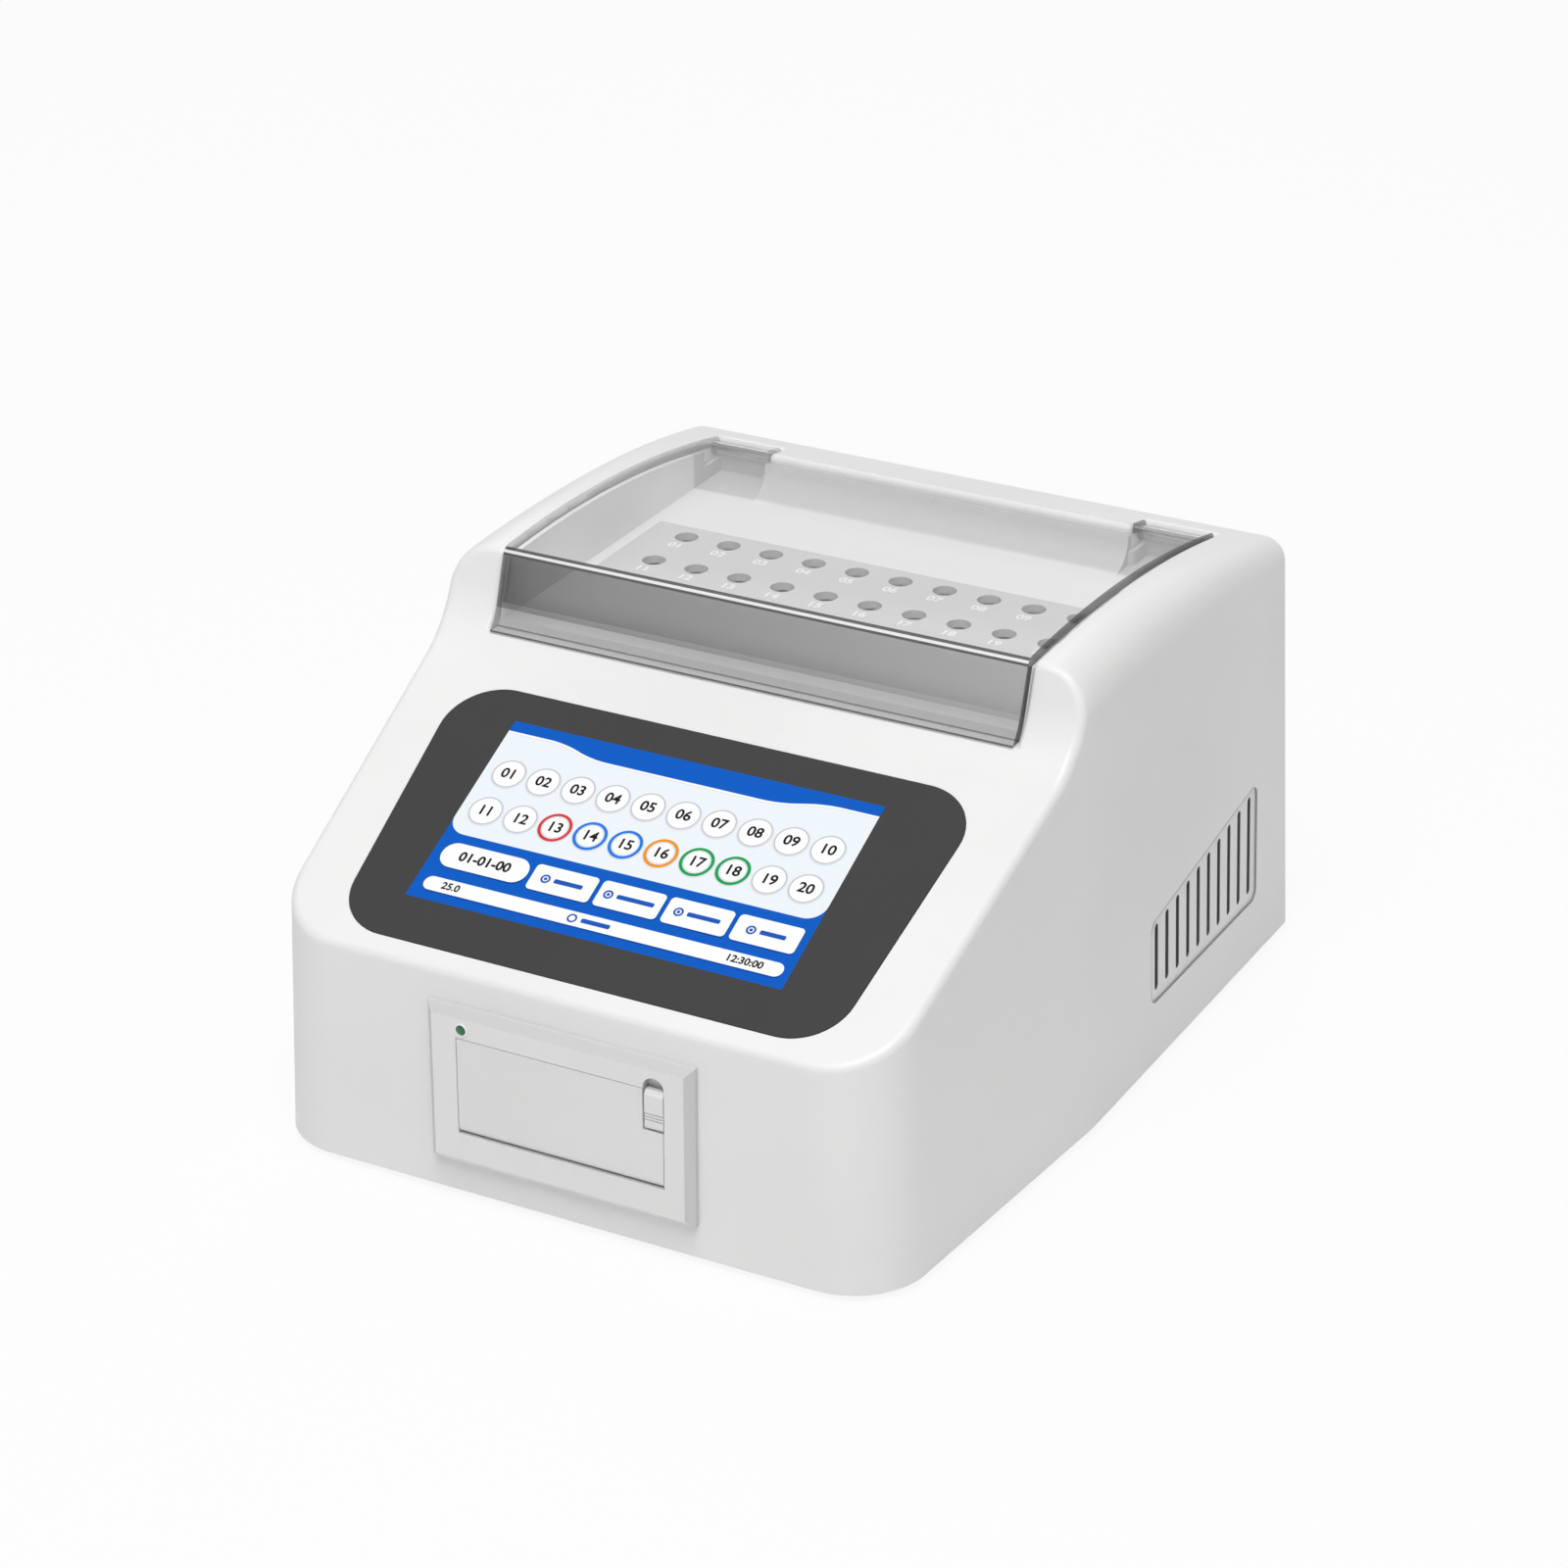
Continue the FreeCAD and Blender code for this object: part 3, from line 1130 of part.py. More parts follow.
bay_low = "door_low - 6.3"
bay_plate = box("bay_plate", collar_width, "bay_wall", "cutout_height - 2*collar_gap",
                "collar_gap - cutout_width/2", "collar_depth - bay_wall", "printer_z - cutout_height/2 + collar_gap")
bay_tub = box("bay_tub", "bay_width", "bay_depth", "bay_height", "-bay_width/2", "collar_depth", bay_low)
bay_room = box("bay_room", "bay_width - 2*bay_wall", "bay_depth", "bay_height - 2*bay_wall",
               "bay_wall - bay_width/2", "collar_depth - bay_wall", bay_low + " + bay_wall")
bay_led = rod("bay_led", "led_radius + 0.3", "4", "-led_x", "collar_depth - 3", "led_z", "y")
bay_solid = fuse("bay_solid", [bay_plate, bay_tub])
keep(cut("bay_form", bay_solid, [bay_room, bay_led]), "printer_bay")
keep(box("head_form", "roll_width - 3", "4", bay_low + " + bay_height - bay_wall - platen_z + head_reach",
         "1.5 - roll_width/2", "platen_y + platen_radius + 0.3", "platen_z - head_reach"), "print_head")


def lug_form(x):
    """A lug on the back of the door that carries one end of the platen's shaft."""
    back = s.platen_y + 2 * s.platen_shaft_radius
    points = [(0, s.platen_z - 12.5), (back - 5.5, s.platen_z - 8.5), (back, s.platen_z - 3.5),
              (back, s.platen_z + 4.5), (back - 2.5, s.platen_z + 5.5), (0, s.door_high - 1)]
    edges = outline(points, [0, 0, 2, 2, 0, 0], lambda y, z: Vector(x, y, z))
    lug = prism(edges, Vector(3, 0, 0))
    bore = Part.makeCylinder(s.platen_shaft_radius + s.running_gap, 5, Vector(x - 1, s.platen_y, s.platen_z),
                             Vector(1, 0, 0))
    return lug.cut(bore)


door_face = box("door_face", "door_left + door_right", "door_thickness", "door_high - door_low - door_thickness/2",
                "-door_left", "-printer_proud", "door_low + door_thickness/2")
door_roll = rod("door_roll", "door_thickness/2", "door_left + door_right", "-door_left", door_axis_y, door_axis_z, "x")
lugs = fixed("lugs", lug_form(30.0).fuse(lug_form(-33.0)))
latch_notch = box("latch_notch", "20", "30", "30", "door_right - latch_width - 0.7", "-15", "latch_low - 2*door_gap")
door_bores = [rod("door_bore_" + side, "small_pin + running_gap", "9.6", x, door_axis_y, door_axis_z, "x")
              for side, x in (("left", "-door_left - 4"), ("right", "door_right - 5.3"))]
door_solid = fuse("door_solid", [cut("door_plate", door_face, [latch_notch]), door_roll, lugs])
keep(cut("door_form", door_solid, door_bores), "printer_door")

platen_place = ("-platen_length/2", "platen_y", "platen_z", "x")
platen = rod("platen_outer", "platen_radius", "platen_length", *platen_place)
platen_bore = rod("platen_bore", "platen_shaft_radius", "platen_length", *platen_place)
keep(cut("platen_form", platen, [platen_bore]), "platen_roller")
keep(rod("shaft_form", "platen_shaft_radius", "68", "-34", "platen_y", "platen_z", "x"), "platen_shaft")

roll_y, roll_z = "26", "42"
roll_outer = rod("roll_outer", "roll_radius", "roll_width", "-roll_width/2", roll_y, roll_z, "x")
roll_inner = rod("roll_inner", "core_radius", "roll_width", "-roll_width/2", roll_y, roll_z, "x")
keep(cut("roll_form", roll_outer, [roll_inner]), "paper_roll")
core_outer = rod("core_outer", "core_radius", "roll_width", "-roll_width/2", roll_y, roll_z, "x")
core_inner = rod("core_inner", "core_radius - core_wall", "roll_width", "-roll_width/2", roll_y, roll_z, "x")
keep(cut("core_form", core_outer, [core_inner]), "paper_core")


def latch_form():
    """A small lever: round foot on its pin, flat front with finger ribs near the foot."""
    left = s.door_right - s.latch_width + 0.1
    y, z = s.latch_thickness / 2 - s.printer_proud, s.latch_low + s.latch_thickness / 2
    half = s.latch_thickness / 2
    top = s.latch_low + s.latch_height
    points = [(y - half, z), (y + half, z), (y + half, top), (y - half + 1.2, top), (y - half, top - 2)]
    across = Vector(s.latch_width, 0, 0)
    lever = prism(outline(points, [0, 0, 0.6, 0.6, 1.5], lambda v, w: Vector(left, v, w)), across)
    lever = lever.fuse(Part.makeCylinder(half, s.latch_width, Vector(left, y, z), Vector(1, 0, 0)))
    for i in range(3):
        groove = Part.makeBox(s.latch_width, 0.5, 0.6, Vector(left, y - half, z + 2.2 + 1.2 * i))
        lever = lever.cut(groove)
    bore = Part.makeCylinder(s.small_pin + s.running_gap, 2 * s.latch_width, Vector(left - 2, y, z), Vector(1, 0, 0))
    return lever.cut(bore)


keep(fixed("latch_form", latch_form()), "printer_latch")
led_body = rod("led_body", "led_radius", "printer_proud + 4", "-led_x", "-printer_proud", "led_z", "y")
led_dome = doc.addObject("Part::Sphere", "led_dome")
bind(led_dome, "Radius", "2*led_radius")
place(led_dome, "-led_x", "-printer_proud + 1.732*led_radius", "led_z")
led_tip = doc.addObject("Part::Common", "led_tip")
led_tip.Base = led_dome
led_tip.Tool = rod("led_sleeve", "led_radius", "printer_proud + 4", "-led_x", "-printer_proud - 2", "led_z", "y")
keep(fuse("led_form", [led_body, led_tip]), "status_led")

# Lid: one clear bent sheet with a tight bend, a flared foot and round hinge beads on its ears


def lid_profile():
    """The lid's side profile as connected edges, in a flat y, z frame."""
    thick = s.lid_thickness
    sin_a, cos_a = math.sin(lean), math.cos(lean)
    crown = (s.crown_y, s.lid_crown - s.lid_radius)
    # the tight bend touches the straight pane and the crown
    bend = s.pane_bend
    start = (s.pane_top_y + bend * cos_a - crown[0], s.lid_crown - 1 - bend * sin_a - crown[1])
    along = start[0] * sin_a + start[1] * cos_a
    rest = start[0] ** 2 + start[1] ** 2 - (s.lid_radius - bend) ** 2
    t = -along + math.sqrt(along ** 2 - rest)
    bend_centre = (crown[0] + start[0] + t * sin_a, crown[1] + start[1] + t * cos_a)
    # the concave flare at the foot of the pane
    low = s.ledge_height + s.lid_gap
    knee = (pane_y(low + s.flare_rise), low + s.flare_rise)
    flare_centre = (knee[0] - s.pane_flare * cos_a, knee[1] + s.pane_flare * sin_a)

    def polar(centre, radius, angle):
        return (centre[0] + radius * math.cos(angle), centre[1] + radius * math.sin(angle))

    def arc(centre, radius, first, last):
        spots = [polar(centre, radius, first + (last - first) * k / 2) for k in range(3)]
        return Part.Arc(*[Vector(y, z, 0) for y, z in spots])

    def bearing(centre, point):
        return math.atan2(point[1] - centre[1], point[0] - centre[0])

    bead = (s.hinge_y, hinge_z)
    toward_bead = bearing(crown, bead)
    inner = s.lid_radius - thick
    gap = math.dist(crown, bead)
    cosine = (inner ** 2 + gap ** 2 - s.bead_radius ** 2) / (2 * inner * gap)
    inner_end = toward_bead + math.acos(cosine)
    joint = polar(crown, inner, inner_end)
    bend_turn = bearing(crown, bend_centre)
    foot_outer = -math.asin((flare_centre[1] - low) / s.pane_flare)
    foot_inner = -math.asin((flare_centre[1] - low) / (s.pane_flare + thick))
    pane_turn = math.pi - lean
    first = arc(flare_centre, s.pane_flare, foot_outer, -lean)
    bend_outer = arc(bend_centre, bend, pane_turn, bend_turn)
    crown_outer = arc(crown, s.lid_radius, bend_turn, toward_bead)
    bead_arc = arc(bead, s.bead_radius, toward_bead, bearing(bead, joint) - 2 * math.pi)
    crown_inner = arc(crown, inner, inner_end, bend_turn)
    bend_inner = arc(bend_centre, bend - thick, bend_turn, pane_turn)
    last = arc(flare_centre, s.pane_flare + thick, -lean, foot_inner)
    return [
        first,
        Part.LineSegment(first.EndPoint, bend_outer.StartPoint),
        bend_outer,
        crown_outer,
        bead_arc,
        crown_inner,
        bend_inner,
        Part.LineSegment(bend_inner.EndPoint, last.StartPoint),
        last,
        Part.LineSegment(last.EndPoint, first.StartPoint),
    ]


lid = new_body("lid_body")
lid_drawing = sketch(lid, "lid_sketch", "YZ_Plane")
trace(lid_drawing, lid_profile())
pad(lid, lid_drawing, "lid_width", both_ways=True)
notch_drawing = sketch(lid, "notch_sketch", "XY_Plane")
side = s.tongue_width / 2 + s.notch_gap
front = s.tongue_y - s.notch_gap
corners = [(-side, front), (side, front), (side, s.housing_depth), (-side, s.housing_depth)]
trace(notch_drawing, outline(corners, [3, 3, 0, 0]))
pocket(lid, notch_drawing, both_ways=True)
bead_drawing = sketch(lid, "bead_sketch", "YZ_Plane")
disc(bead_drawing, "hinge_pin_radius + running_gap", s.hinge_y, hinge_z)
pocket(lid, bead_drawing, both_ways=True)
keep(lid, "lid")
hinge_pins = both_sides("hinge_pin", "hinge_pin_radius", PIN_LENGTH, PIN_START, "hinge_y", HINGE_Z)
for pin, name in zip(hinge_pins, ("lid_hinge_pin_right", "lid_hinge_pin_left")):
    keep(pin, name)
panel_screws = []
for i, (x, z) in enumerate(PANEL_SCREWS):
    head = rod("panel_head_%d" % i, "screw_head - 0.5", "screw_shank", str(x), "panel_face_y", str(z), "y")
    shank = rod("panel_shank_%d" % i, "screw_shank - 0.5", "panel_thickness + wall", str(x),
                panel_back + " - wall", str(z), "y")
    panel_screws.append(fuse("panel_screw_%d" % i, [head, shank]))
keep(group("panel_screw_set", panel_screws), "panel_screws")

# Check every piece and write it

doc.recompute()
faults = [item.Name for item in doc.Objects if "Invalid" in item.State or "Error" in item.State]
for name, thing in PARTS.items():
    if thing.Shape.isNull() or not thing.Shape.isValid() or not thing.Shape.Solids:
        faults.append(name)
if faults:
    raise RuntimeError("faulty pieces: " + ", ".join(faults))
for name, thing in PARTS.items():
    thing.Shape.exportStep("parts/" + name + ".step")
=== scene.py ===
"""An erythrocyte sedimentation rate analyzer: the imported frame, its finishes and the fine pieces
that the frame leaves out. Metres; the origin is the middle of the footprint, the user is at -Y.
"""
import math

import bmesh
import bpy
from mathutils import Matrix, Vector


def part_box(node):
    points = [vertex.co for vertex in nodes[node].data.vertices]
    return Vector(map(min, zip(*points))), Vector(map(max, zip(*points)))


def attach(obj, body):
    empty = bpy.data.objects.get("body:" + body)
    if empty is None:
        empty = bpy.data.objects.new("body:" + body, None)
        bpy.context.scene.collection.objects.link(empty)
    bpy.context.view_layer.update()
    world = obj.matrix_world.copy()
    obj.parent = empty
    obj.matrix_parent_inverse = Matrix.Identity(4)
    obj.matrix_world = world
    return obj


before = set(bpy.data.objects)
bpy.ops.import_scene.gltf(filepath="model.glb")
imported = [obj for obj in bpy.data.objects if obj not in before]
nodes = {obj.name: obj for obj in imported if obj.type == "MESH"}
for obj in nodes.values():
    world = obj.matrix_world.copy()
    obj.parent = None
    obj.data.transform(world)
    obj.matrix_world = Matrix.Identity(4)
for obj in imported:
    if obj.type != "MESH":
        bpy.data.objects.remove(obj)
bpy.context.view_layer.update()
scene = bpy.context.scene
scene.view_settings.view_transform = "Standard"
MM = 0.001

# Camera: a long lens above and to the right of the front, tilted down and not rolled.

AZIMUTH = math.radians(28.04)
ELEVATION = math.radians(25.84)
EYE = Vector((0.7324, -1.3768, 0.8626))
LENS = 102.92
SENSOR = 36.0
NEAREST = 0.05
right = Vector((math.cos(AZIMUTH), math.sin(AZIMUTH), 0))
ahead = Vector((-math.sin(AZIMUTH) * math.cos(ELEVATION),
                math.cos(AZIMUTH) * math.cos(ELEVATION),
                -math.sin(ELEVATION)))
above = right.cross(ahead)
camera = bpy.data.objects.new("camera", bpy.data.cameras.new("camera"))
camera.matrix_world = Matrix.Translation(EYE) @ Matrix((right, above, -ahead)).transposed().to_4x4()
camera.data.lens = LENS
camera.data.sensor_width = SENSOR
camera.data.clip_start = NEAREST
scene.collection.objects.link(camera)
scene.camera = camera

# Stage: a pale floor that keeps the shadow, white behind everything, and soft studio light from
# the front right and, weaker, from behind on the left.

WHITE_SHARE = 0.9
FLOOR_REACH = 6.0
ROOM_LIGHT = 0.39
OBJECT_MIDDLE = Vector((0, 0, 0.1))
PAPER_WHITE = (1.0, 1.0, 1.0, 1.0)


class Wire:
    """A node's output; arithmetic on it adds the maths nodes."""

    def __init__(self, finish, socket):
        self.finish = finish
        self.socket = socket

    def maths(self, operation, left, right):
        return self.finish.node("ShaderNodeMath", {"operation": operation}, {0: left, 1: right})

    def __add__(self, other):
        return self.maths("ADD", self, other)

    __radd__ = __add__

    def __sub__(self, other):
        return self.maths("SUBTRACT", self, other)

    def __rsub__(self, other):
        return self.maths("SUBTRACT", other, self)

    def __mul__(self, other):
        return self.maths("MULTIPLY", self, other)

    __rmul__ = __mul__

    def __pow__(self, other):
        return self.maths("POWER", self, other)

    def __gt__(self, other):
        return self.maths("GREATER_THAN", self, other)

    def __abs__(self):
        return self.maths("ABSOLUTE", self, 0.0)

    def between(self, low, high):
        """1 above the low value and up to the high one, 0 elsewhere."""
        return (self > low) * (1 - (self > high))

    def either(self, other):
        return self.maths("MAXIMUM", self, other)

    def output(self, name):
        """Another output of the same node."""
        return Wire(self.finish, self.socket.node.outputs[name])


class Finish:
    """A procedural material, worked out from where a point lies on its piece."""

    def __init__(self, name, **constants):
        self.material = bpy.data.materials.new(name)
        self.material.use_nodes = True
        self.tree = self.material.node_tree
        self.surface = self.tree.nodes["Principled BSDF"]
        sockets = {socket.name.lower().replace(" ", "_"): socket for socket in self.surface.inputs}
        for words, value in constants.items():
            sockets[words].default_value = value
        self.spot = self.node("ShaderNodeTexCoord", output="Object")

    def node(self, kind, settings=None, values=None, output=0):
        node = self.tree.nodes.new(kind)
        for name, value in (settings or {}).items():
            if name == "stops":
                while len(node.color_ramp.elements) < len(value):
                    node.color_ramp.elements.new(0.5)
                for element, (position, grey) in zip(node.color_ramp.elements, value):
                    element.position = position
                    element.color = (grey, grey, grey, 1)
            else:
                setattr(node, name, value)
        for name, value in (values or {}).items():
            self.join(value, node.inputs[name])
        return Wire(self, node.outputs[output])

    def join(self, value, socket):
        if isinstance(value, Wire):
            self.tree.links.new(value.socket, socket)
        else:
            socket.default_value = value

    def feed(self, name, value):
        self.join(value, self.surface.inputs[name])

    def axes(self, vector):
        """The X, Y and Z of a vector."""
        parts = self.node("ShaderNodeSeparateXYZ", {}, {0: vector})
        return [parts.output(axis) for axis in "XYZ"]

    def facing(self):
        """The X, Y and Z of the direction that the surface faces."""
        return self.axes(self.node("ShaderNodeTexCoord", output="Normal"))

    def noise(self, size, detail=2.0, stretch=None):
        """Noise whose cells are about that size, in metres; stretch squeezes it along an axis."""
        spot = self.spot
        if stretch:
            spot = self.node("ShaderNodeMapping", {}, {"Vector": spot, "Scale": stretch})
        return self.node("ShaderNodeTexNoise", {}, {"Vector": spot, "Scale": 1 / size, "Detail": detail})

    def stripes(self, axis, pitch):
        """Soft bands along an axis, one to each pitch in metres."""
        return self.node("ShaderNodeTexWave", {"bands_direction": axis},
                         {"Vector": self.spot, "Scale": math.pi / 10 / pitch, "Distortion": 0.0})

    def ramp(self, value, *stops):
        return self.node("ShaderNodeValToRGB", {"stops": stops}, {"Fac": value})

    def mix(self, factor, first, second):
        """The first colour where the factor is 0, the second where it is 1."""
        pair = [colour if isinstance(colour, Wire) else (*colour, 1.0) for colour in (first, second)]
        return self.node("ShaderNodeMix", {"data_type": "RGBA"}, {0: factor, 6: pair[0], 7: pair[1]}, 2)

    def repaint(self, mask, colour):
        """Lay a colour over the Base Color where the mask is 1."""
        plain = Wire(self, self.surface.inputs["Base Color"].links[0].from_socket)
        self.feed("Base Color", self.mix(mask, plain, colour))

    def bump(self, height, depth):
        return self.node("ShaderNodeBump", {}, {"Height": height, "Distance": depth, "Strength": 1.0})


def seen_directly(finish):
    """1 for rays that look straight at, mirror or pass through to the surface."""
    rays = {name: finish.node("ShaderNodeLightPath", output=name)
            for name in ("Is Camera Ray", "Is Glossy Ray", "Is Transmission Ray")}
    total = rays["Is Camera Ray"] + rays["Is Glossy Ray"] + rays["Is Transmission Ray"]
    return total.maths("MINIMUM", total, 1.0)


def new_mesh(name, bm):
    """A mesh from a bmesh, which is freed."""
    mesh = bpy.data.meshes.new(name)
    bm.to_mesh(mesh)
    bm.free()
    return mesh


floor_finish = Finish("floor", roughness=0.9)
floor_cloud = floor_finish.noise(0.4, 3.0)
floor_finish.feed("Base Color", floor_finish.mix(floor_cloud, (0.78, 0.78, 0.78), (0.8, 0.8, 0.8)))
glow = floor_finish.node("ShaderNodeEmission", {}, {"Color": PAPER_WHITE, "Strength": 1.0})
sheet = floor_finish.node("ShaderNodeMixShader", {}, {0: seen_directly(floor_finish) * WHITE_SHARE})
output = floor_finish.tree.nodes["Material Output"]
floor_finish.tree.links.new(floor_finish.surface.outputs[0], sheet.socket.node.inputs[1])
floor_finish.tree.links.new(glow.socket, sheet.socket.node.inputs[2])
floor_finish.tree.links.new(sheet.socket, output.inputs["Surface"])

bm = bmesh.new()
bmesh.ops.create_grid(bm, x_segments=2, y_segments=2, size=FLOOR_REACH)
mesh = new_mesh("floor", bm)
mesh.materials.append(floor_finish.material)
floor = bpy.data.objects.new("floor", mesh)
scene.collection.objects.link(floor)

world = bpy.data.worlds.new("studio")
world.use_nodes = True
scene.world = world
tree = world.node_tree
room = tree.nodes["Background"]
room.inputs["Color"].default_value = PAPER_WHITE
room.inputs["Strength"].default_value = ROOM_LIGHT
backdrop = tree.nodes.new("ShaderNodeBackground")
backdrop.inputs["Color"].default_value = PAPER_WHITE
backdrop.inputs["Strength"].default_value = 1.0
rays = tree.nodes.new("ShaderNodeLightPath")
choice = tree.nodes.new("ShaderNodeMixShader")
tree.links.new(rays.outputs["Is Camera Ray"], choice.inputs[0])
tree.links.new(room.outputs[0], choice.inputs[1])
tree.links.new(backdrop.outputs[0], choice.inputs[2])
tree.links.new(choice.outputs[0], tree.nodes["World Output"].inputs["Surface"])


def softbox(name, spot, size, power):
    """A square lamp, aimed at the middle of the object."""
    lamp = bpy.data.lights.new(name, "AREA")
    lamp.shape = "SQUARE"
    lamp.size = size
    lamp.energy = power
    stand = bpy.data.objects.new(name, lamp)
    turn = (OBJECT_MIDDLE - Vector(spot)).normalized().to_track_quat("-Z", "Y")
    stand.matrix_world = Matrix.Translation(Vector(spot)) @ turn.to_matrix().to_4x4()
    scene.collection.objects.link(stand)


softbox("key_softbox", (0.35, -1.1, 2.4), 1.6, 48.0)
softbox("back_softbox", (-0.9, 1.6, 1.9), 1.4, 9.0)

# Housing: one white moulded shell with a fine satin grain. It carries the display, the printer
# and the lid's hinge pins. The walls of its vent slots, which open into it, are painted near black
# as shade.

MOULD_GRAIN = 0.35 * MM
GRAIN_DEPTH = 0.006 * MM
SHELL_COLOUR = (0.84, 0.84, 0.835)
SLOT_SHADE_COLOUR = (0.11, 0.11, 0.11)
HOUSING_LOW = 3.0 * MM
HALF_WIDTH = 142.5 * MM
DRAFT = math.tan(math.radians(2.16))
VENT_DEPTH = 0.8 * MM
VENT_MARGIN = 0.25 * MM
VENT_START, VENT_END = 35 * MM, 140 * MM
VENT_LOW, VENT_HIGH, VENT_RISE = 28.5 * MM, 64 * MM, 0.158
VENT_END_HIGH = VENT_HIGH + VENT_RISE * (VENT_END - VENT_START)


def dress(finish, *names):
    """Put a finish on nodes of the frame."""
    for name in names:
        for place in nodes[name].material_slots:
            place.material = finish.material


def moulded(name, colour, roughness, shade=0.025):
    """Moulded plastic: a fine spark-eroded grain, faint flow shading and slightly rubbed patches."""
    finish = Finish(name)
    flow = finish.noise(0.12, 3.0)
    rubbed = finish.noise(0.035, 5.0)
    eroded = finish.noise(MOULD_GRAIN, 2.0)
    dark = [channel * (1 - 2 * shade) for channel in colour]
    finish.feed("Base Color", finish.mix(finish.ramp(flow, (0.3, 0.0), (0.7, 1.0)), dark, colour))
    finish.feed("Roughness", roughness - 0.06 + 0.12 * rubbed)
    finish.feed("Normal", finish.bump(eroded, GRAIN_DEPTH))
    return finish


shell_white = moulded("shell_white", SHELL_COLOUR, 0.4)
x, y, z = shell_white.axes(shell_white.spot)
inward = HALF_WIDTH - (z - HOUSING_LOW) * DRAFT - abs(x)
beside = y.between(VENT_START, VENT_END) * z.between(VENT_LOW, VENT_END_HIGH)
# Painted shade: the slot walls, deeper than the recess, are painted near black.
shell_white.repaint(beside * (inward > VENT_DEPTH + VENT_MARGIN), SLOT_SHADE_COLOUR)
dress(shell_white, "housing")

# Vent lips: a thin band round the edge of the tapered frame let into each side wall round its
# slots, painted dark grey as the shade on that edge of the recess.

LIP_SHADE_COLOUR = (0.28, 0.28, 0.28)
LIP_WIDTH = 0.45 * MM
LIP_ROUNDING = 5.0 * MM
LIP_SUNK = 0.04 * MM


def round_corners(bm, corners, radius):
    bmesh.ops.bevel(bm, geom=corners, offset=radius, offset_type="OFFSET", affect="VERTICES", segments=8,
                    profile=0.5, material=-1, clamp_overlap=True)


def thicken(bm, step):
    """Extrude the flat faces by a step."""
    grown = bmesh.ops.extrude_face_region(bm, geom=bm.faces[:])
    verts = [part for part in grown["geom"] if isinstance(part, bmesh.types.BMVert)]
    bmesh.ops.translate(bm, verts=verts, vec=step)


def gather(name, parts):
    """One mesh from several."""
    bm = bmesh.new()
    for part in parts:
        bm.from_mesh(part)
        bpy.data.meshes.remove(part)
    bmesh.ops.remove_doubles(bm, verts=bm.verts, dist=1e-6)
    return new_mesh(name, bm)


def add_piece(name, mesh, finish, body):
    """Put a finished mesh into the scene and let it move with its body."""
    piece = bpy.data.objects.new(name, mesh)
    scene.collection.objects.link(piece)
    mesh.materials.clear()
    mesh.materials.append(finish.material)
    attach(piece, body)


wall_x = HALF_WIDTH + HOUSING_LOW * DRAFT - LIP_SUNK
lean = Matrix(((1, 0, -DRAFT, wall_x), (0, 1, 0, 0), (0, 0, 1, 0), (0, 0, 0, 1)))
lips = []
for side in (-1, 1):
    outline = [(VENT_START, VENT_LOW), (VENT_END, VENT_LOW), (VENT_END, VENT_END_HIGH),
               (VENT_START, VENT_HIGH)]
    bm = bmesh.new()
    corners = [bm.verts.new((0, along, up)) for along, up in outline]
    bm.faces.new(corners)
    round_corners(bm, corners, LIP_ROUNDING)
    middle = bm.faces[:]
    bmesh.ops.inset_region(bm, faces=middle, thickness=LIP_WIDTH, use_boundary=True, use_even_offset=True)
    bmesh.ops.delete(bm, geom=middle, context="FACES")
    thicken(bm, (-VENT_DEPTH, 0, 0))
    bm.transform(Matrix.Scale(side, 4, (1, 0, 0)) @ lean)
    bmesh.ops.recalc_face_normals(bm, faces=bm.faces)
    lips.append(new_mesh("vent_lip", bm))
# The lips' dark grey is painted shade on the edge of the recess.
lip_grey = moulded("lip_grey", LIP_SHADE_COLOUR, 0.45)
add_piece("vent_lips", gather("vent_lips", lips), lip_grey, "instrument")

# Base and rear: powder-coated sheet steel, fixed with bright zinc-plated screws, on four rubber
# feet. The display's bracket, the rack's columns and the data sockets are plated in the same way,
# and the printer's roller is of the same rubber.

coated = Finish("powder_coat", metallic=0.0)
coated.feed("Base Color", coated.mix(coated.noise(0.05, 4.0), (0.60, 0.60, 0.59), (0.66, 0.66, 0.65)))
coated.feed("Roughness", 0.46 + 0.14 * coated.noise(0.02, 3.0))
coated.feed("Normal", coated.bump(coated.noise(0.7 * MM, 2.0), 0.03 * MM))
dress(coated, "base_plate", "rear_panel", "power_supply")

zinc = Finish("bright_zinc", metallic=1.0)
zinc.feed("Base Color", zinc.mix(zinc.noise(0.004, 3.0), (0.52, 0.53, 0.55), (0.68, 0.69, 0.70)))
zinc.feed("Roughness", 0.24 + 0.18 * zinc.noise(0.002, 2.0))
dress(zinc, "base_screws", "panel_screws", "display_bracket", "rack_columns", "serial_port", "usb_port")

rubber = Finish("rubber", specular_ior_level=0.3)
rubber.feed("Base Color", rubber.mix(rubber.noise(0.003, 4.0), (0.018, 0.018, 0.018), (0.035, 0.034, 0.033)))
rubber.feed("Roughness", 0.7 + 0.2 * rubber.noise(0.004, 3.0))
rubber.feed("Normal", rubber.bump(rubber.noise(0.5 * MM, 2.0), 0.02 * MM))
dress(rubber, "foot_front_left", "foot_front_right", "foot_rear_left", "foot_rear_right", "platen_roller")
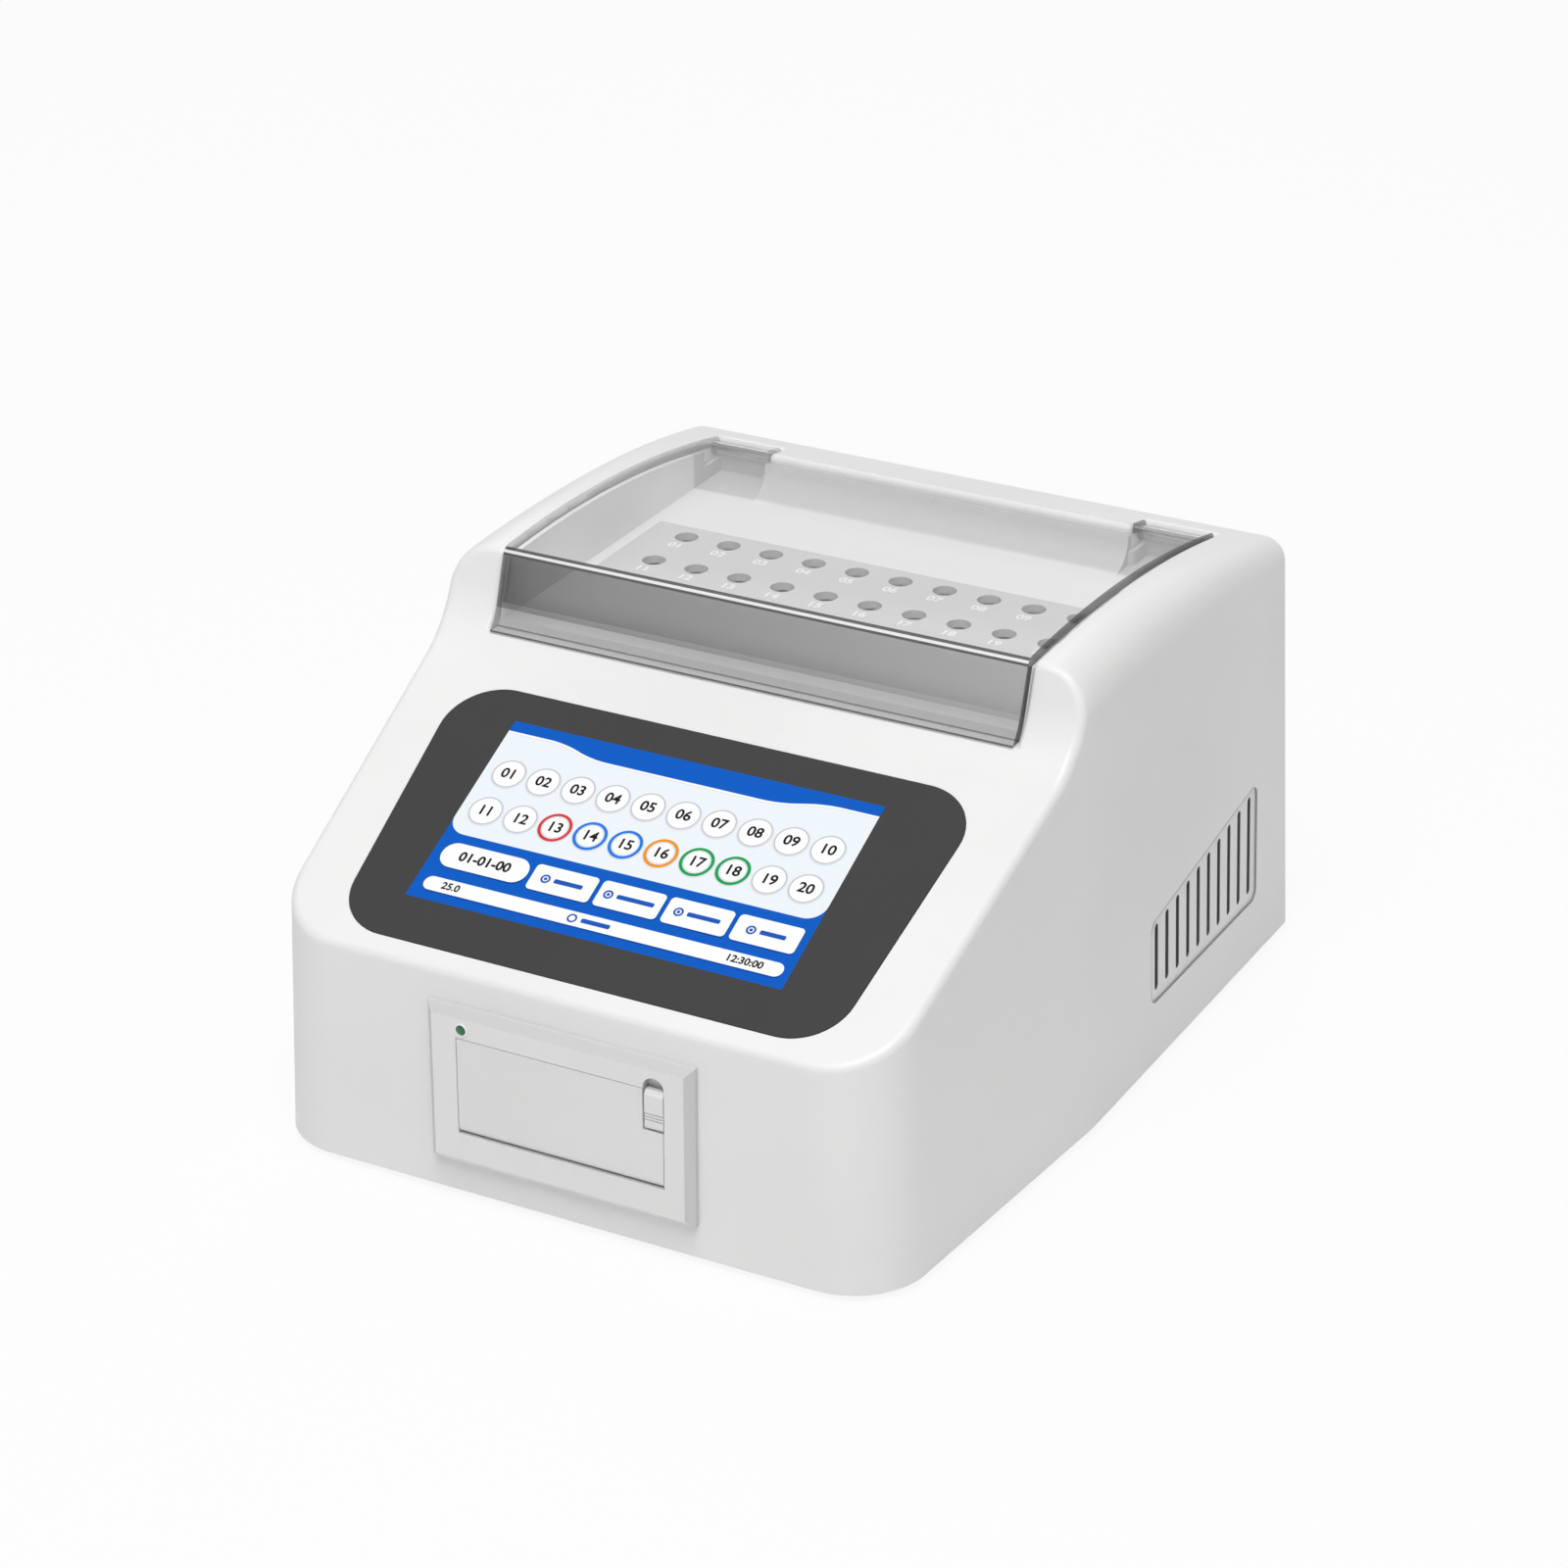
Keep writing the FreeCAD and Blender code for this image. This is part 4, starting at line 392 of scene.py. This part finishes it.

# Sample well: a pale grey moulded tray, with painted shade darkening its rear part, where its
# floor curves up at the rear, round a darker grey deck with a printed number in front of each tube
# hole.

TRAY_COLOUR = (0.84, 0.84, 0.84)
WALL_SHADE_COLOUR = (0.58, 0.58, 0.58)
WALL_FADE, WALL_REACH = 2.5 * MM, 27.0 * MM
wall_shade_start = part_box("well_tray")[1][1] - WALL_REACH
tray_grey = moulded("tray_grey", TRAY_COLOUR, 0.36)
rearward = tray_grey.axes(tray_grey.spot)[1] - wall_shade_start
# Painted shade: the tray is darkened from a line near its rear onwards.
tray_grey.repaint(tray_grey.ramp(rearward * (1 / WALL_FADE), (0.0, 0.0), (1.0, 1.0)), WALL_SHADE_COLOUR)
dress(tray_grey, "well_tray")
dress(moulded("deck_grey", (0.62, 0.62, 0.62), 0.5, shade=0.02), "tube_deck")
dress(moulded("rack_grey", (0.86, 0.86, 0.86), 0.45), "rack_top_plate", "rack_socket_plate", "scan_carriage")

HOLE_PITCH = 19.3 * MM
HOLE_RADIUS = 4.8 * MM
HOLES = 10
HOUSING_FRONT = -171.0 * MM
ROWS = (HOUSING_FRONT + 249.0 * MM, HOUSING_FRONT + 222.2 * MM)
DECK_TOP = 164.8 * MM
PRINT_HEIGHT = 6.2 * MM
PRINT_STROKE = 0.2 * MM
PRINT_LIFT = 0.06 * MM


def lettering(words, size, place, weight):
    """Flat figures as mesh data, centred on their place; weight thickens the strokes."""
    curve = bpy.data.curves.new("figures", "FONT")
    curve.body = words
    curve.size = size
    curve.align_x = "CENTER"
    curve.align_y = "CENTER"
    curve.resolution_u = 4
    curve.offset = weight
    holder = bpy.data.objects.new("figures", curve)
    scene.collection.objects.link(holder)
    bpy.context.view_layer.update()
    flat = bpy.data.meshes.new_from_object(holder.evaluated_get(bpy.context.evaluated_depsgraph_get()))
    bpy.data.objects.remove(holder)
    flat.transform(place)
    return flat


print_white = Finish("print_white")
ink_cover = print_white.noise(0.8 * MM, 3.0)
print_white.feed("Base Color", print_white.mix(ink_cover, (0.84, 0.84, 0.84), (0.9, 0.9, 0.9)))
print_white.feed("Roughness", 0.5 + 0.1 * print_white.noise(0.003))
figures = []
for row, centre in enumerate(ROWS):
    below = centre - HOLE_RADIUS - 0.75 * PRINT_HEIGHT
    for column in range(HOLES):
        across = (column - (HOLES - 1) / 2) * HOLE_PITCH
        place = Matrix.Translation((across, below, DECK_TOP + PRINT_LIFT))
        figures.append(lettering("%02d" % (HOLES * row + column + 1), PRINT_HEIGHT, place, PRINT_STROKE))
add_piece("hole_numbers", gather("hole_numbers", figures), print_white, "instrument")

# Scanning unit: ground steel rods, a steel screw in a brass nut, and green circuit boards. The
# hinge pins, the printer's shaft and the fan's guard are of the rods' steel.

THREAD_PITCH = 2.0 * MM
ground = Finish("ground_steel", metallic=1.0)
ground.feed("Base Color", ground.mix(ground.noise(0.006, 3.0), (0.50, 0.50, 0.51), (0.62, 0.62, 0.63)))
ground.feed("Roughness", 0.16 + 0.14 * ground.noise(0.9 * MM, 2.0))
dress(ground, "guide_rods", "door_hinge_pins", "latch_pin", "platen_shaft", "lid_hinge_pin_left",
      "lid_hinge_pin_right", "fan_guard")

screw_steel = Finish("screw_steel", metallic=1.0, base_color=(0.55, 0.55, 0.56, 1))
thread = screw_steel.stripes("Z", THREAD_PITCH)
screw_steel.feed("Roughness", 0.2 + 0.2 * thread)
screw_steel.feed("Normal", screw_steel.bump(thread, 0.4 * MM))
dress(screw_steel, "lead_screw")

brass = Finish("turned_brass", metallic=1.0)
brass.feed("Base Color", brass.mix(brass.noise(0.004, 3.0), (0.56, 0.40, 0.16), (0.70, 0.52, 0.24)))
brass.feed("Roughness", 0.25 + 0.15 * brass.noise(0.6 * MM, 2.0))
dress(brass, "screw_nut", "board_standoffs")

solder_mask = Finish("solder_mask", coat_weight=0.4)
tracks = solder_mask.noise(2.2 * MM, 0.0, (1.0, 6.0, 1.0)) > 0.55
solder_mask.feed("Base Color", solder_mask.mix(tracks, (0.010, 0.11, 0.045), (0.022, 0.19, 0.08)))
solder_mask.feed("Roughness", 0.34 + 0.1 * solder_mask.noise(0.01, 3.0))
solder_mask.feed("Normal", solder_mask.bump(tracks, 0.03 * MM))
dress(solder_mask, "emitter_boards", "sensor_board_front", "sensor_board_rear", "main_board")

# Black parts: the scanner's motor, the mains inlet, the switch and its rocker, the fan and the
# print head, all dressed in the same satin black.

black = moulded("moulded_black", (0.022, 0.022, 0.023), 0.44)
dress(black, "scan_motor", "power_inlet", "switch_body", "power_rocker", "fan_frame", "fan_rotor",
      "print_head")

# Lid: one clear bent acrylic sheet. Its front pane is smoky, with painted shade that darkens it
# towards the left and a paler painted band of light low down. Its bend and its sawn and polished
# edges carry dark lines of painted shade, the right edge darker than the left, with a painted
# glint along the middle of the bend, and the sheet is painted a paler, more opaque grey towards
# grazing angles as a painted reflection.

CLEAR_SHARE = 0.04
PANE_SHARE = 0.53
FOOT_SHARE = 0.28
EDGE_SHARE = 0.82
FAR_EDGE_SHARE = 0.35
LINE_SHARE = 0.9
LINE_HEIGHT = 0.5 * MM
FOOT_HEIGHT = 8.5 * MM
FOLD_HEIGHT = 20 * MM
FRONT_DEPTH = 22 * MM
EDGE_FACING = 0.9
PANE_FACING = 0.75
BEND_FROM, GLINT_FROM, GLINT_TO, BEND_TO = 0.44, 0.60, 0.76, 0.90
LID_SHADE = (0.07, 0.07, 0.07)
lid_low, lid_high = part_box("lid")
acrylic = Finish("clear_acrylic", ior=1.49, specular_ior_level=0.6)
across, deep, height = acrylic.facing()
x, y, level = acrylic.axes(acrylic.spot)
side_edge = abs(across) > EDGE_FACING
right_edge = side_edge * (x > 0.0)
left_edge = side_edge - right_edge
front = 1 - (y > lid_low[1] + FRONT_DEPTH)
pane = front * (abs(deep) > PANE_FACING)
# Painted light: the front pane's lowest band is made clearer and a paler grey.
foot = front * (1 - (level > lid_low[2] + FOOT_HEIGHT))
# Painted shade along the bend: two dark lines with a painted glint between them.
bend = front * (level > lid_low[2] + FOLD_HEIGHT) * (1 - side_edge) * height.between(BEND_FROM, BEND_TO)
glint = bend * height.between(GLINT_FROM, GLINT_TO)
fold_shade = bend - glint
# Painted shade: a thin dark line along the front pane's lower edge.
low_shade_line = front * (1 - (level > lid_low[2] + LINE_HEIGHT)) * (1 - (abs(height) > EDGE_FACING))
along = 0.5 + x * (0.5 / lid_high[0])
# Painted reflection: the sheet turns a more opaque pale grey towards grazing angles.
grazing = acrylic.node("ShaderNodeLayerWeight", {}, {"Blend": 0.5}, "Facing")
haze = acrylic.noise(0.06, 3.0)
share = CLEAR_SHARE + 0.35 * grazing ** 4.0 + 0.02 * haze
# Painted shade: the smoky pane is more opaque towards the left.
share = share + (PANE_SHARE - 0.08 * along - share) * pane
share = share + (FOOT_SHARE - share) * foot
# Painted shade: the sheet's side edges are made opaque and near black, the right one more so.
share = share + (FAR_EDGE_SHARE - share) * left_edge
share = share + (EDGE_SHARE - share) * right_edge
share = share + (LINE_SHARE - share) * bend.either(low_shade_line)
acrylic.feed("Alpha", share)
# The pane's smoke runs from dark at the left to lighter at the right, as painted shade.
smoke_and_painted_light = acrylic.mix(along, (0.08, 0.08, 0.08), (0.25, 0.25, 0.25))
smoke_and_painted_light = acrylic.mix(foot, smoke_and_painted_light, (0.46, 0.46, 0.46))
tone = acrylic.mix(pane.either(foot), (0.74, 0.74, 0.74), smoke_and_painted_light)
dark = right_edge.either(left_edge).either(fold_shade).either(low_shade_line)
tone = acrylic.mix(dark, tone, LID_SHADE)
acrylic.feed("Base Color", acrylic.mix(glint, tone, (0.80, 0.80, 0.80)))
acrylic.feed("Roughness", 0.04 + 0.03 * acrylic.noise(0.02, 3.0))
dress(acrylic, "lid")

# Display: a dark grey glass set flush in the slope. The lit picture behind it is laid on as thin
# sheets, drawn in millimetres: blue ground, pale panel, numbered discs, buttons and bars.

SLOPE_FOOT = 94.0 * MM
SLOPE_ANGLE = math.radians(25)
GLASS_FACE = 0.2
SHEET = 0.02
PIXEL = 0.2 * MM
GROUND, PANEL, LINE, FIELD, SHADE, DISC, RIM = [layer * SHEET for layer in range(7)]
SCREEN_LEFT, SCREEN_RIGHT, SCREEN_LOW, SCREEN_HIGH = -81.4, 75.8, 28.0, 116.5
slope = Matrix.Translation((0, HOUSING_FRONT, SLOPE_FOOT)) @ Matrix.Rotation(SLOPE_ANGLE, 4, "X")
slope = slope @ Matrix.Scale(MM, 4)

cover_glass = Finish("cover_glass", ior=1.5)
glass_cloud = cover_glass.noise(0.05, 3.0)
cover_glass.feed("Base Color", cover_glass.mix(glass_cloud, (0.040, 0.040, 0.040), (0.046, 0.046, 0.046)))
cover_glass.feed("Roughness", 0.22 + 0.06 * cover_glass.noise(0.03, 4.0))
dress(cover_glass, "touch_glass")
panel_metal = Finish("display_back", metallic=1.0, base_color=(0.4, 0.41, 0.42, 1))
panel_metal.feed("Roughness", 0.35 + 0.1 * panel_metal.noise(0.01))
dress(panel_metal, "lcd_panel")


def lit(name, colour):
    """A patch of the lit picture, with the faint upright bands of its pixels."""
    finish = Finish(name, roughness=0.3, specular_ior_level=0.15, emission_strength=0.76)
    pixel = finish.stripes("X", PIXEL)
    finish.feed("Emission Color", finish.mix(pixel, [0.93 * channel for channel in colour], colour))
    unlit = [[share * channel for channel in colour] for share in (0.24, 0.26)]
    finish.feed("Base Color", finish.mix(pixel, *unlit))
    return finish


def raised(bm, level):
    """Give flat faces the thickness of a sheet and lay them on the glass."""
    thicken(bm, (0, 0, SHEET))
    bmesh.ops.recalc_face_normals(bm, faces=bm.faces)
    bmesh.ops.translate(bm, verts=bm.verts, vec=(0, 0, GLASS_FACE + level))
    bm.transform(slope)
    return new_mesh("sheet", bm)


def tile(points, rounding, level):
    """A thin sheet with rounded corners; rounding holds a radius for each corner."""
    bm = bmesh.new()
    corners = [bm.verts.new((u, v, 0)) for u, v in points]
    bm.faces.new(corners)
    for radius in sorted(set(rounding) - {0}):
        round_corners(bm, [corner for corner, own in zip(corners, rounding) if own == radius], radius)
    return raised(bm, level)


def plate(left, right, low, high, radius, level):
    """A thin rectangular sheet."""
    return tile([(left, low), (right, low), (right, high), (left, high)], [radius] * 4, level)


def disc(u, v, radius, level, hole=0.0):
    """A round sheet, or a ring if it has a hole."""
    bm = bmesh.new()
    bmesh.ops.create_circle(bm, cap_ends=not hole, radius=radius, segments=48)
    if hole:
        bmesh.ops.create_circle(bm, cap_ends=False, radius=hole, segments=48)
        bmesh.ops.bridge_loops(bm, edges=bm.edges[:])
    bmesh.ops.translate(bm, verts=bm.verts, vec=(u, v, 0))
    return raised(bm, level)


def slope_lettering(words, size, u, v, level, weight):
    return lettering(words, size, slope @ Matrix.Translation((u, v, GLASS_FACE + level + SHEET)), weight)


def screen_piece(name, parts, finish):
    add_piece(name, gather(name, parts), finish, "instrument")


ground_blue = lit("screen_blue", (0.0, 0.108, 0.56))
pale_ice = lit("screen_pale", (0.86, 0.91, 0.96))
bright = lit("screen_white", (0.98, 0.98, 0.98))
soft_grey = lit("screen_grey", (0.55, 0.57, 0.60))
ink = lit("screen_ink", (0.008, 0.008, 0.010))
blue_ink = lit("screen_blue_ink", (0.01, 0.10, 0.50))
shade_grey = lit("screen_shade", (0.74, 0.78, 0.83))
shade_blue = lit("screen_shade_blue", (0.0, 0.06, 0.36))

# Screen ground: the blue ground and the pale panel over it. The panel is rounded below, and its
# top edge has a wave, a white hem and a thin grey line.

PANEL_LOW, BAND_HIGH, BAND_LOW = 60.0, 111.5, 107.0
WAVE_RIGHT, WAVE_LEFT = (54, 36), (-43, -57)
PANEL_ROUNDING = [7.5, 7.5, 0, 6, 6, 6, 6, 0]


def panel_outline(drop):
    """The pale panel; drop lowers its top edge."""
    high, low = BAND_HIGH - drop, BAND_LOW - drop
    return [(SCREEN_LEFT, PANEL_LOW), (SCREEN_RIGHT, PANEL_LOW), (SCREEN_RIGHT, high), (WAVE_RIGHT[0], high),
            (WAVE_RIGHT[1], low), (WAVE_LEFT[0], low), (WAVE_LEFT[1], high), (SCREEN_LEFT, high)]


backing = plate(SCREEN_LEFT, SCREEN_RIGHT, SCREEN_LOW, SCREEN_HIGH, 0, GROUND)
screen_piece("screen_ground", [backing], ground_blue)
screen_piece("screen_edge", [tile(panel_outline(0.0), PANEL_ROUNDING, PANEL)], bright)
screen_piece("screen_line", [tile(panel_outline(0.9), PANEL_ROUNDING, LINE)], shade_grey)
screen_piece("screen_panel", [tile(panel_outline(1.25), PANEL_ROUNDING, FIELD)], pale_ice)

# Screen discs: one numbered disc for each tube place, in two rows of ten. Six of them have a
# coloured ring in place of the grey rim.

RING_COLOURS = {"red": (0.70, 0.045, 0.055), "blue": (0.02, 0.20, 0.78), "orange": (0.88, 0.31, 0.02),
                "green": (0.01, 0.36, 0.085)}
RINGS = {13: "red", 14: "blue", 15: "blue", 16: "orange", 17: "green", 18: "green"}
DISC_PITCH = 15.0
DISC_RADIUS = 6.4
DISC_ROWS = (91.7, 72.8)
DISC_START = -70.9
FIGURE_HEIGHT = 6.4
FIGURE_STROKE = 0.16
discs, rims, shades, numbers = [], [], [], []
rings = {colour: [] for colour in RING_COLOURS}
for number in range(1, 2 * HOLES + 1):
    u = DISC_START + (number - 1) % HOLES * DISC_PITCH
    v = DISC_ROWS[(number - 1) // HOLES]
    discs.append(disc(u, v, DISC_RADIUS, DISC))
    shades.append(disc(u + 0.1, v - 0.3, DISC_RADIUS + 0.75, SHADE))
    if number in RINGS:
        rings[RINGS[number]].append(disc(u, v, DISC_RADIUS + 0.35, RIM, DISC_RADIUS - 0.95))
        shades.append(disc(u, v + 0.1, DISC_RADIUS - 0.9, RIM, DISC_RADIUS - 1.55))
    else:
        rims.append(disc(u, v, DISC_RADIUS + 0.25, RIM, DISC_RADIUS - 0.25))
    numbers.append(slope_lettering("%02d" % number, FIGURE_HEIGHT, u, v, RIM, FIGURE_STROKE))
screen_piece("screen_shades", shades, shade_grey)
screen_piece("screen_discs", discs, bright)
screen_piece("screen_rims", rims, soft_grey)
for colour, parts in rings.items():
    screen_piece("screen_rings_" + colour, parts, lit("screen_" + colour, RING_COLOURS[colour]))

# Screen buttons: white buttons with a ring, a dot and a bar each, a pill with a date and a long
# bar with a temperature and a clock, each over a blue shade.

BUTTON_WIDTH, BUTTON_LOW, BUTTON_HIGH = 26.4, 43.6, 55.6
BUTTON_PITCH = 28.3
BUTTON_START = -38.7
BUTTON_MIDDLE = (BUTTON_LOW + BUTTON_HIGH) / 2
BUTTON_LINES = (12.0, 15.5, 13.5, 10.5)
BAR_LOW, BAR_HIGH = 32.5, 38.9
BAR_MIDDLE = (BAR_LOW + BAR_HIGH) / 2
LINE_HALF = 1.0
LINE_ROUNDING = 0.6
ICON_RADIUS = 2.0
ICON_GAP = 3.6
READINGS = (("01-01-00", 6.0, -59.1, 50.1, 0.2), ("25.0", 4.4, -66.0, BAR_MIDDLE, 0.14),
            ("12:30:00", 4.4, 57.0, BAR_MIDDLE, 0.14))


def thin_line(start, length, middle):
    return plate(start, start + length, middle - LINE_HALF, middle + LINE_HALF, LINE_ROUNDING, DISC)


pill_shapes = [(-77.6, -40.6, 44.3, 55.9, 5.6), (-77.4, 72.7, BAR_LOW, BAR_HIGH, 3.1)]
icons = [disc(-14.2, BAR_MIDDLE, ICON_RADIUS, DISC, 1.25), thin_line(-10.4, 12.0, BAR_MIDDLE)]
for place, length in enumerate(BUTTON_LINES):
    left = BUTTON_START + place * BUTTON_PITCH
    pill_shapes.append((left, left + BUTTON_WIDTH, BUTTON_LOW, BUTTON_HIGH, 1.8))
    start = left + (BUTTON_WIDTH - length) / 2 + 2.4
    icons.append(disc(start - ICON_GAP, BUTTON_MIDDLE, ICON_RADIUS, DISC, 1.2))
    icons.append(disc(start - ICON_GAP, BUTTON_MIDDLE, 0.7, DISC))
    icons.append(thin_line(start, length, BUTTON_MIDDLE))
pills = [plate(left, right, low, high, radius, LINE) for left, right, low, high, radius in pill_shapes]
hems = [plate(left + 0.3, right + 0.3, low - 0.7, high - 0.4, radius, PANEL)
        for left, right, low, high, radius in pill_shapes]
screen_piece("screen_hems", hems, shade_blue)
screen_piece("screen_buttons", pills, bright)
screen_piece("screen_icons", icons, blue_ink)
for words, size, u, v, weight in READINGS:
    numbers.append(slope_lettering(words, size, u, v, FIELD, weight))
screen_piece("screen_numbers", numbers, ink)

# Printer: a pale grey panel printer. Its moulded frame's bevel is painted darker as shade, and
# its door, latch and bay are moulded to match.

PRINTER_COLOUR = (0.79, 0.79, 0.785)
BEVEL_SHADE_COLOUR = (0.60, 0.60, 0.60)
BEVEL_TURN = 0.3
dress(moulded("printer_grey", PRINTER_COLOUR, 0.38), "printer_door", "printer_latch")
dress(moulded("bay_grey", (0.46, 0.46, 0.46), 0.5), "printer_bay")
frame_grey = moulded("frame_grey", PRINTER_COLOUR, 0.38)
across, _, height = frame_grey.facing()
# Painted shade: faces turned sideways or upwards on the frame get a darker grey.
bevel = (abs(across) > BEVEL_TURN).either(height > BEVEL_TURN)
frame_grey.feed("Base Color", frame_grey.mix(bevel, PRINTER_COLOUR, BEVEL_SHADE_COLOUR))
dress(frame_grey, "printer_frame")

# Paper roll: thermal paper wound on a core of pressed card. It lies in the printer's bay, and its
# ends show the turns.

ROLL_Y, ROLL_Z = -145 * MM, 45 * MM
PAPER = 0.24 * MM
thermal = Finish("thermal_paper", roughness=0.6)
side = thermal.node("ShaderNodeMapping", {},
                    {"Vector": thermal.spot, "Location": (0, -ROLL_Y, -ROLL_Z), "Scale": (0, 1, 1)})
reach = thermal.node("ShaderNodeVectorMath", {"operation": "LENGTH"}, {0: side}, "Value")
turns = thermal.node("ShaderNodeMath", {"operation": "SINE"}, {0: reach * (2 * math.pi / PAPER)})
thermal.feed("Base Color", thermal.mix(0.5 + 0.5 * turns, (0.70, 0.69, 0.66), (0.80, 0.80, 0.77)))
dress(thermal, "paper_roll")
card = Finish("pressed_card", roughness=0.8)
card.feed("Base Color", card.mix(card.noise(0.002, 4.0), (0.30, 0.20, 0.11), (0.42, 0.30, 0.18)))
dress(card, "paper_core")

# Status light: a small moulded green lens in a bright nickel-plated ring. Both are pressed into
# the printer's frame.

LED_X, LED_Z = -39.9 * MM, 74.3 * MM
PRINTER_FACE = -176.0 * MM
RING_PROFILE = [(2.1, 0.0), (2.1, 0.25), (2.35, 0.4), (2.75, 0.3), (2.85, 0.0)]
green_lens = Finish("green_lens", emission_strength=0.08, coat_weight=0.3, coat_roughness=0.05, roughness=0.3)
fleck, cloud = green_lens.noise(0.001), green_lens.noise(0.002)
green_lens.feed("Base Color", green_lens.mix(fleck, (0.006, 0.10, 0.025), (0.01, 0.15, 0.04)))
green_lens.feed("Emission Color", green_lens.mix(cloud, (0.01, 0.16, 0.04), (0.015, 0.22, 0.06)))
dress(green_lens, "status_led")

bm = bmesh.new()
ring = [bm.verts.new((LED_X + radius * MM, PRINTER_FACE - out * MM, LED_Z)) for radius, out in RING_PROFILE]
edges = [bm.edges.new(pair) for pair in zip(ring, ring[1:] + ring[:1])]
bmesh.ops.spin(bm, geom=ring + edges, cent=(LED_X, PRINTER_FACE, LED_Z), axis=(0, 1, 0),
               angle=2 * math.pi, steps=40, use_merge=True)
bmesh.ops.remove_doubles(bm, verts=bm.verts, dist=1e-6)
bmesh.ops.recalc_face_normals(bm, faces=bm.faces)
nickel = Finish("bright_nickel", metallic=0.3, coat_weight=0.5)
nickel.feed("Base Color", nickel.mix(nickel.noise(0.002), (0.86, 0.86, 0.86), (0.92, 0.92, 0.92)))
nickel.feed("Roughness", 0.2 + 0.1 * nickel.noise(0.001))
add_piece("led_ring", new_mesh("led_ring", bm), nickel, "instrument")
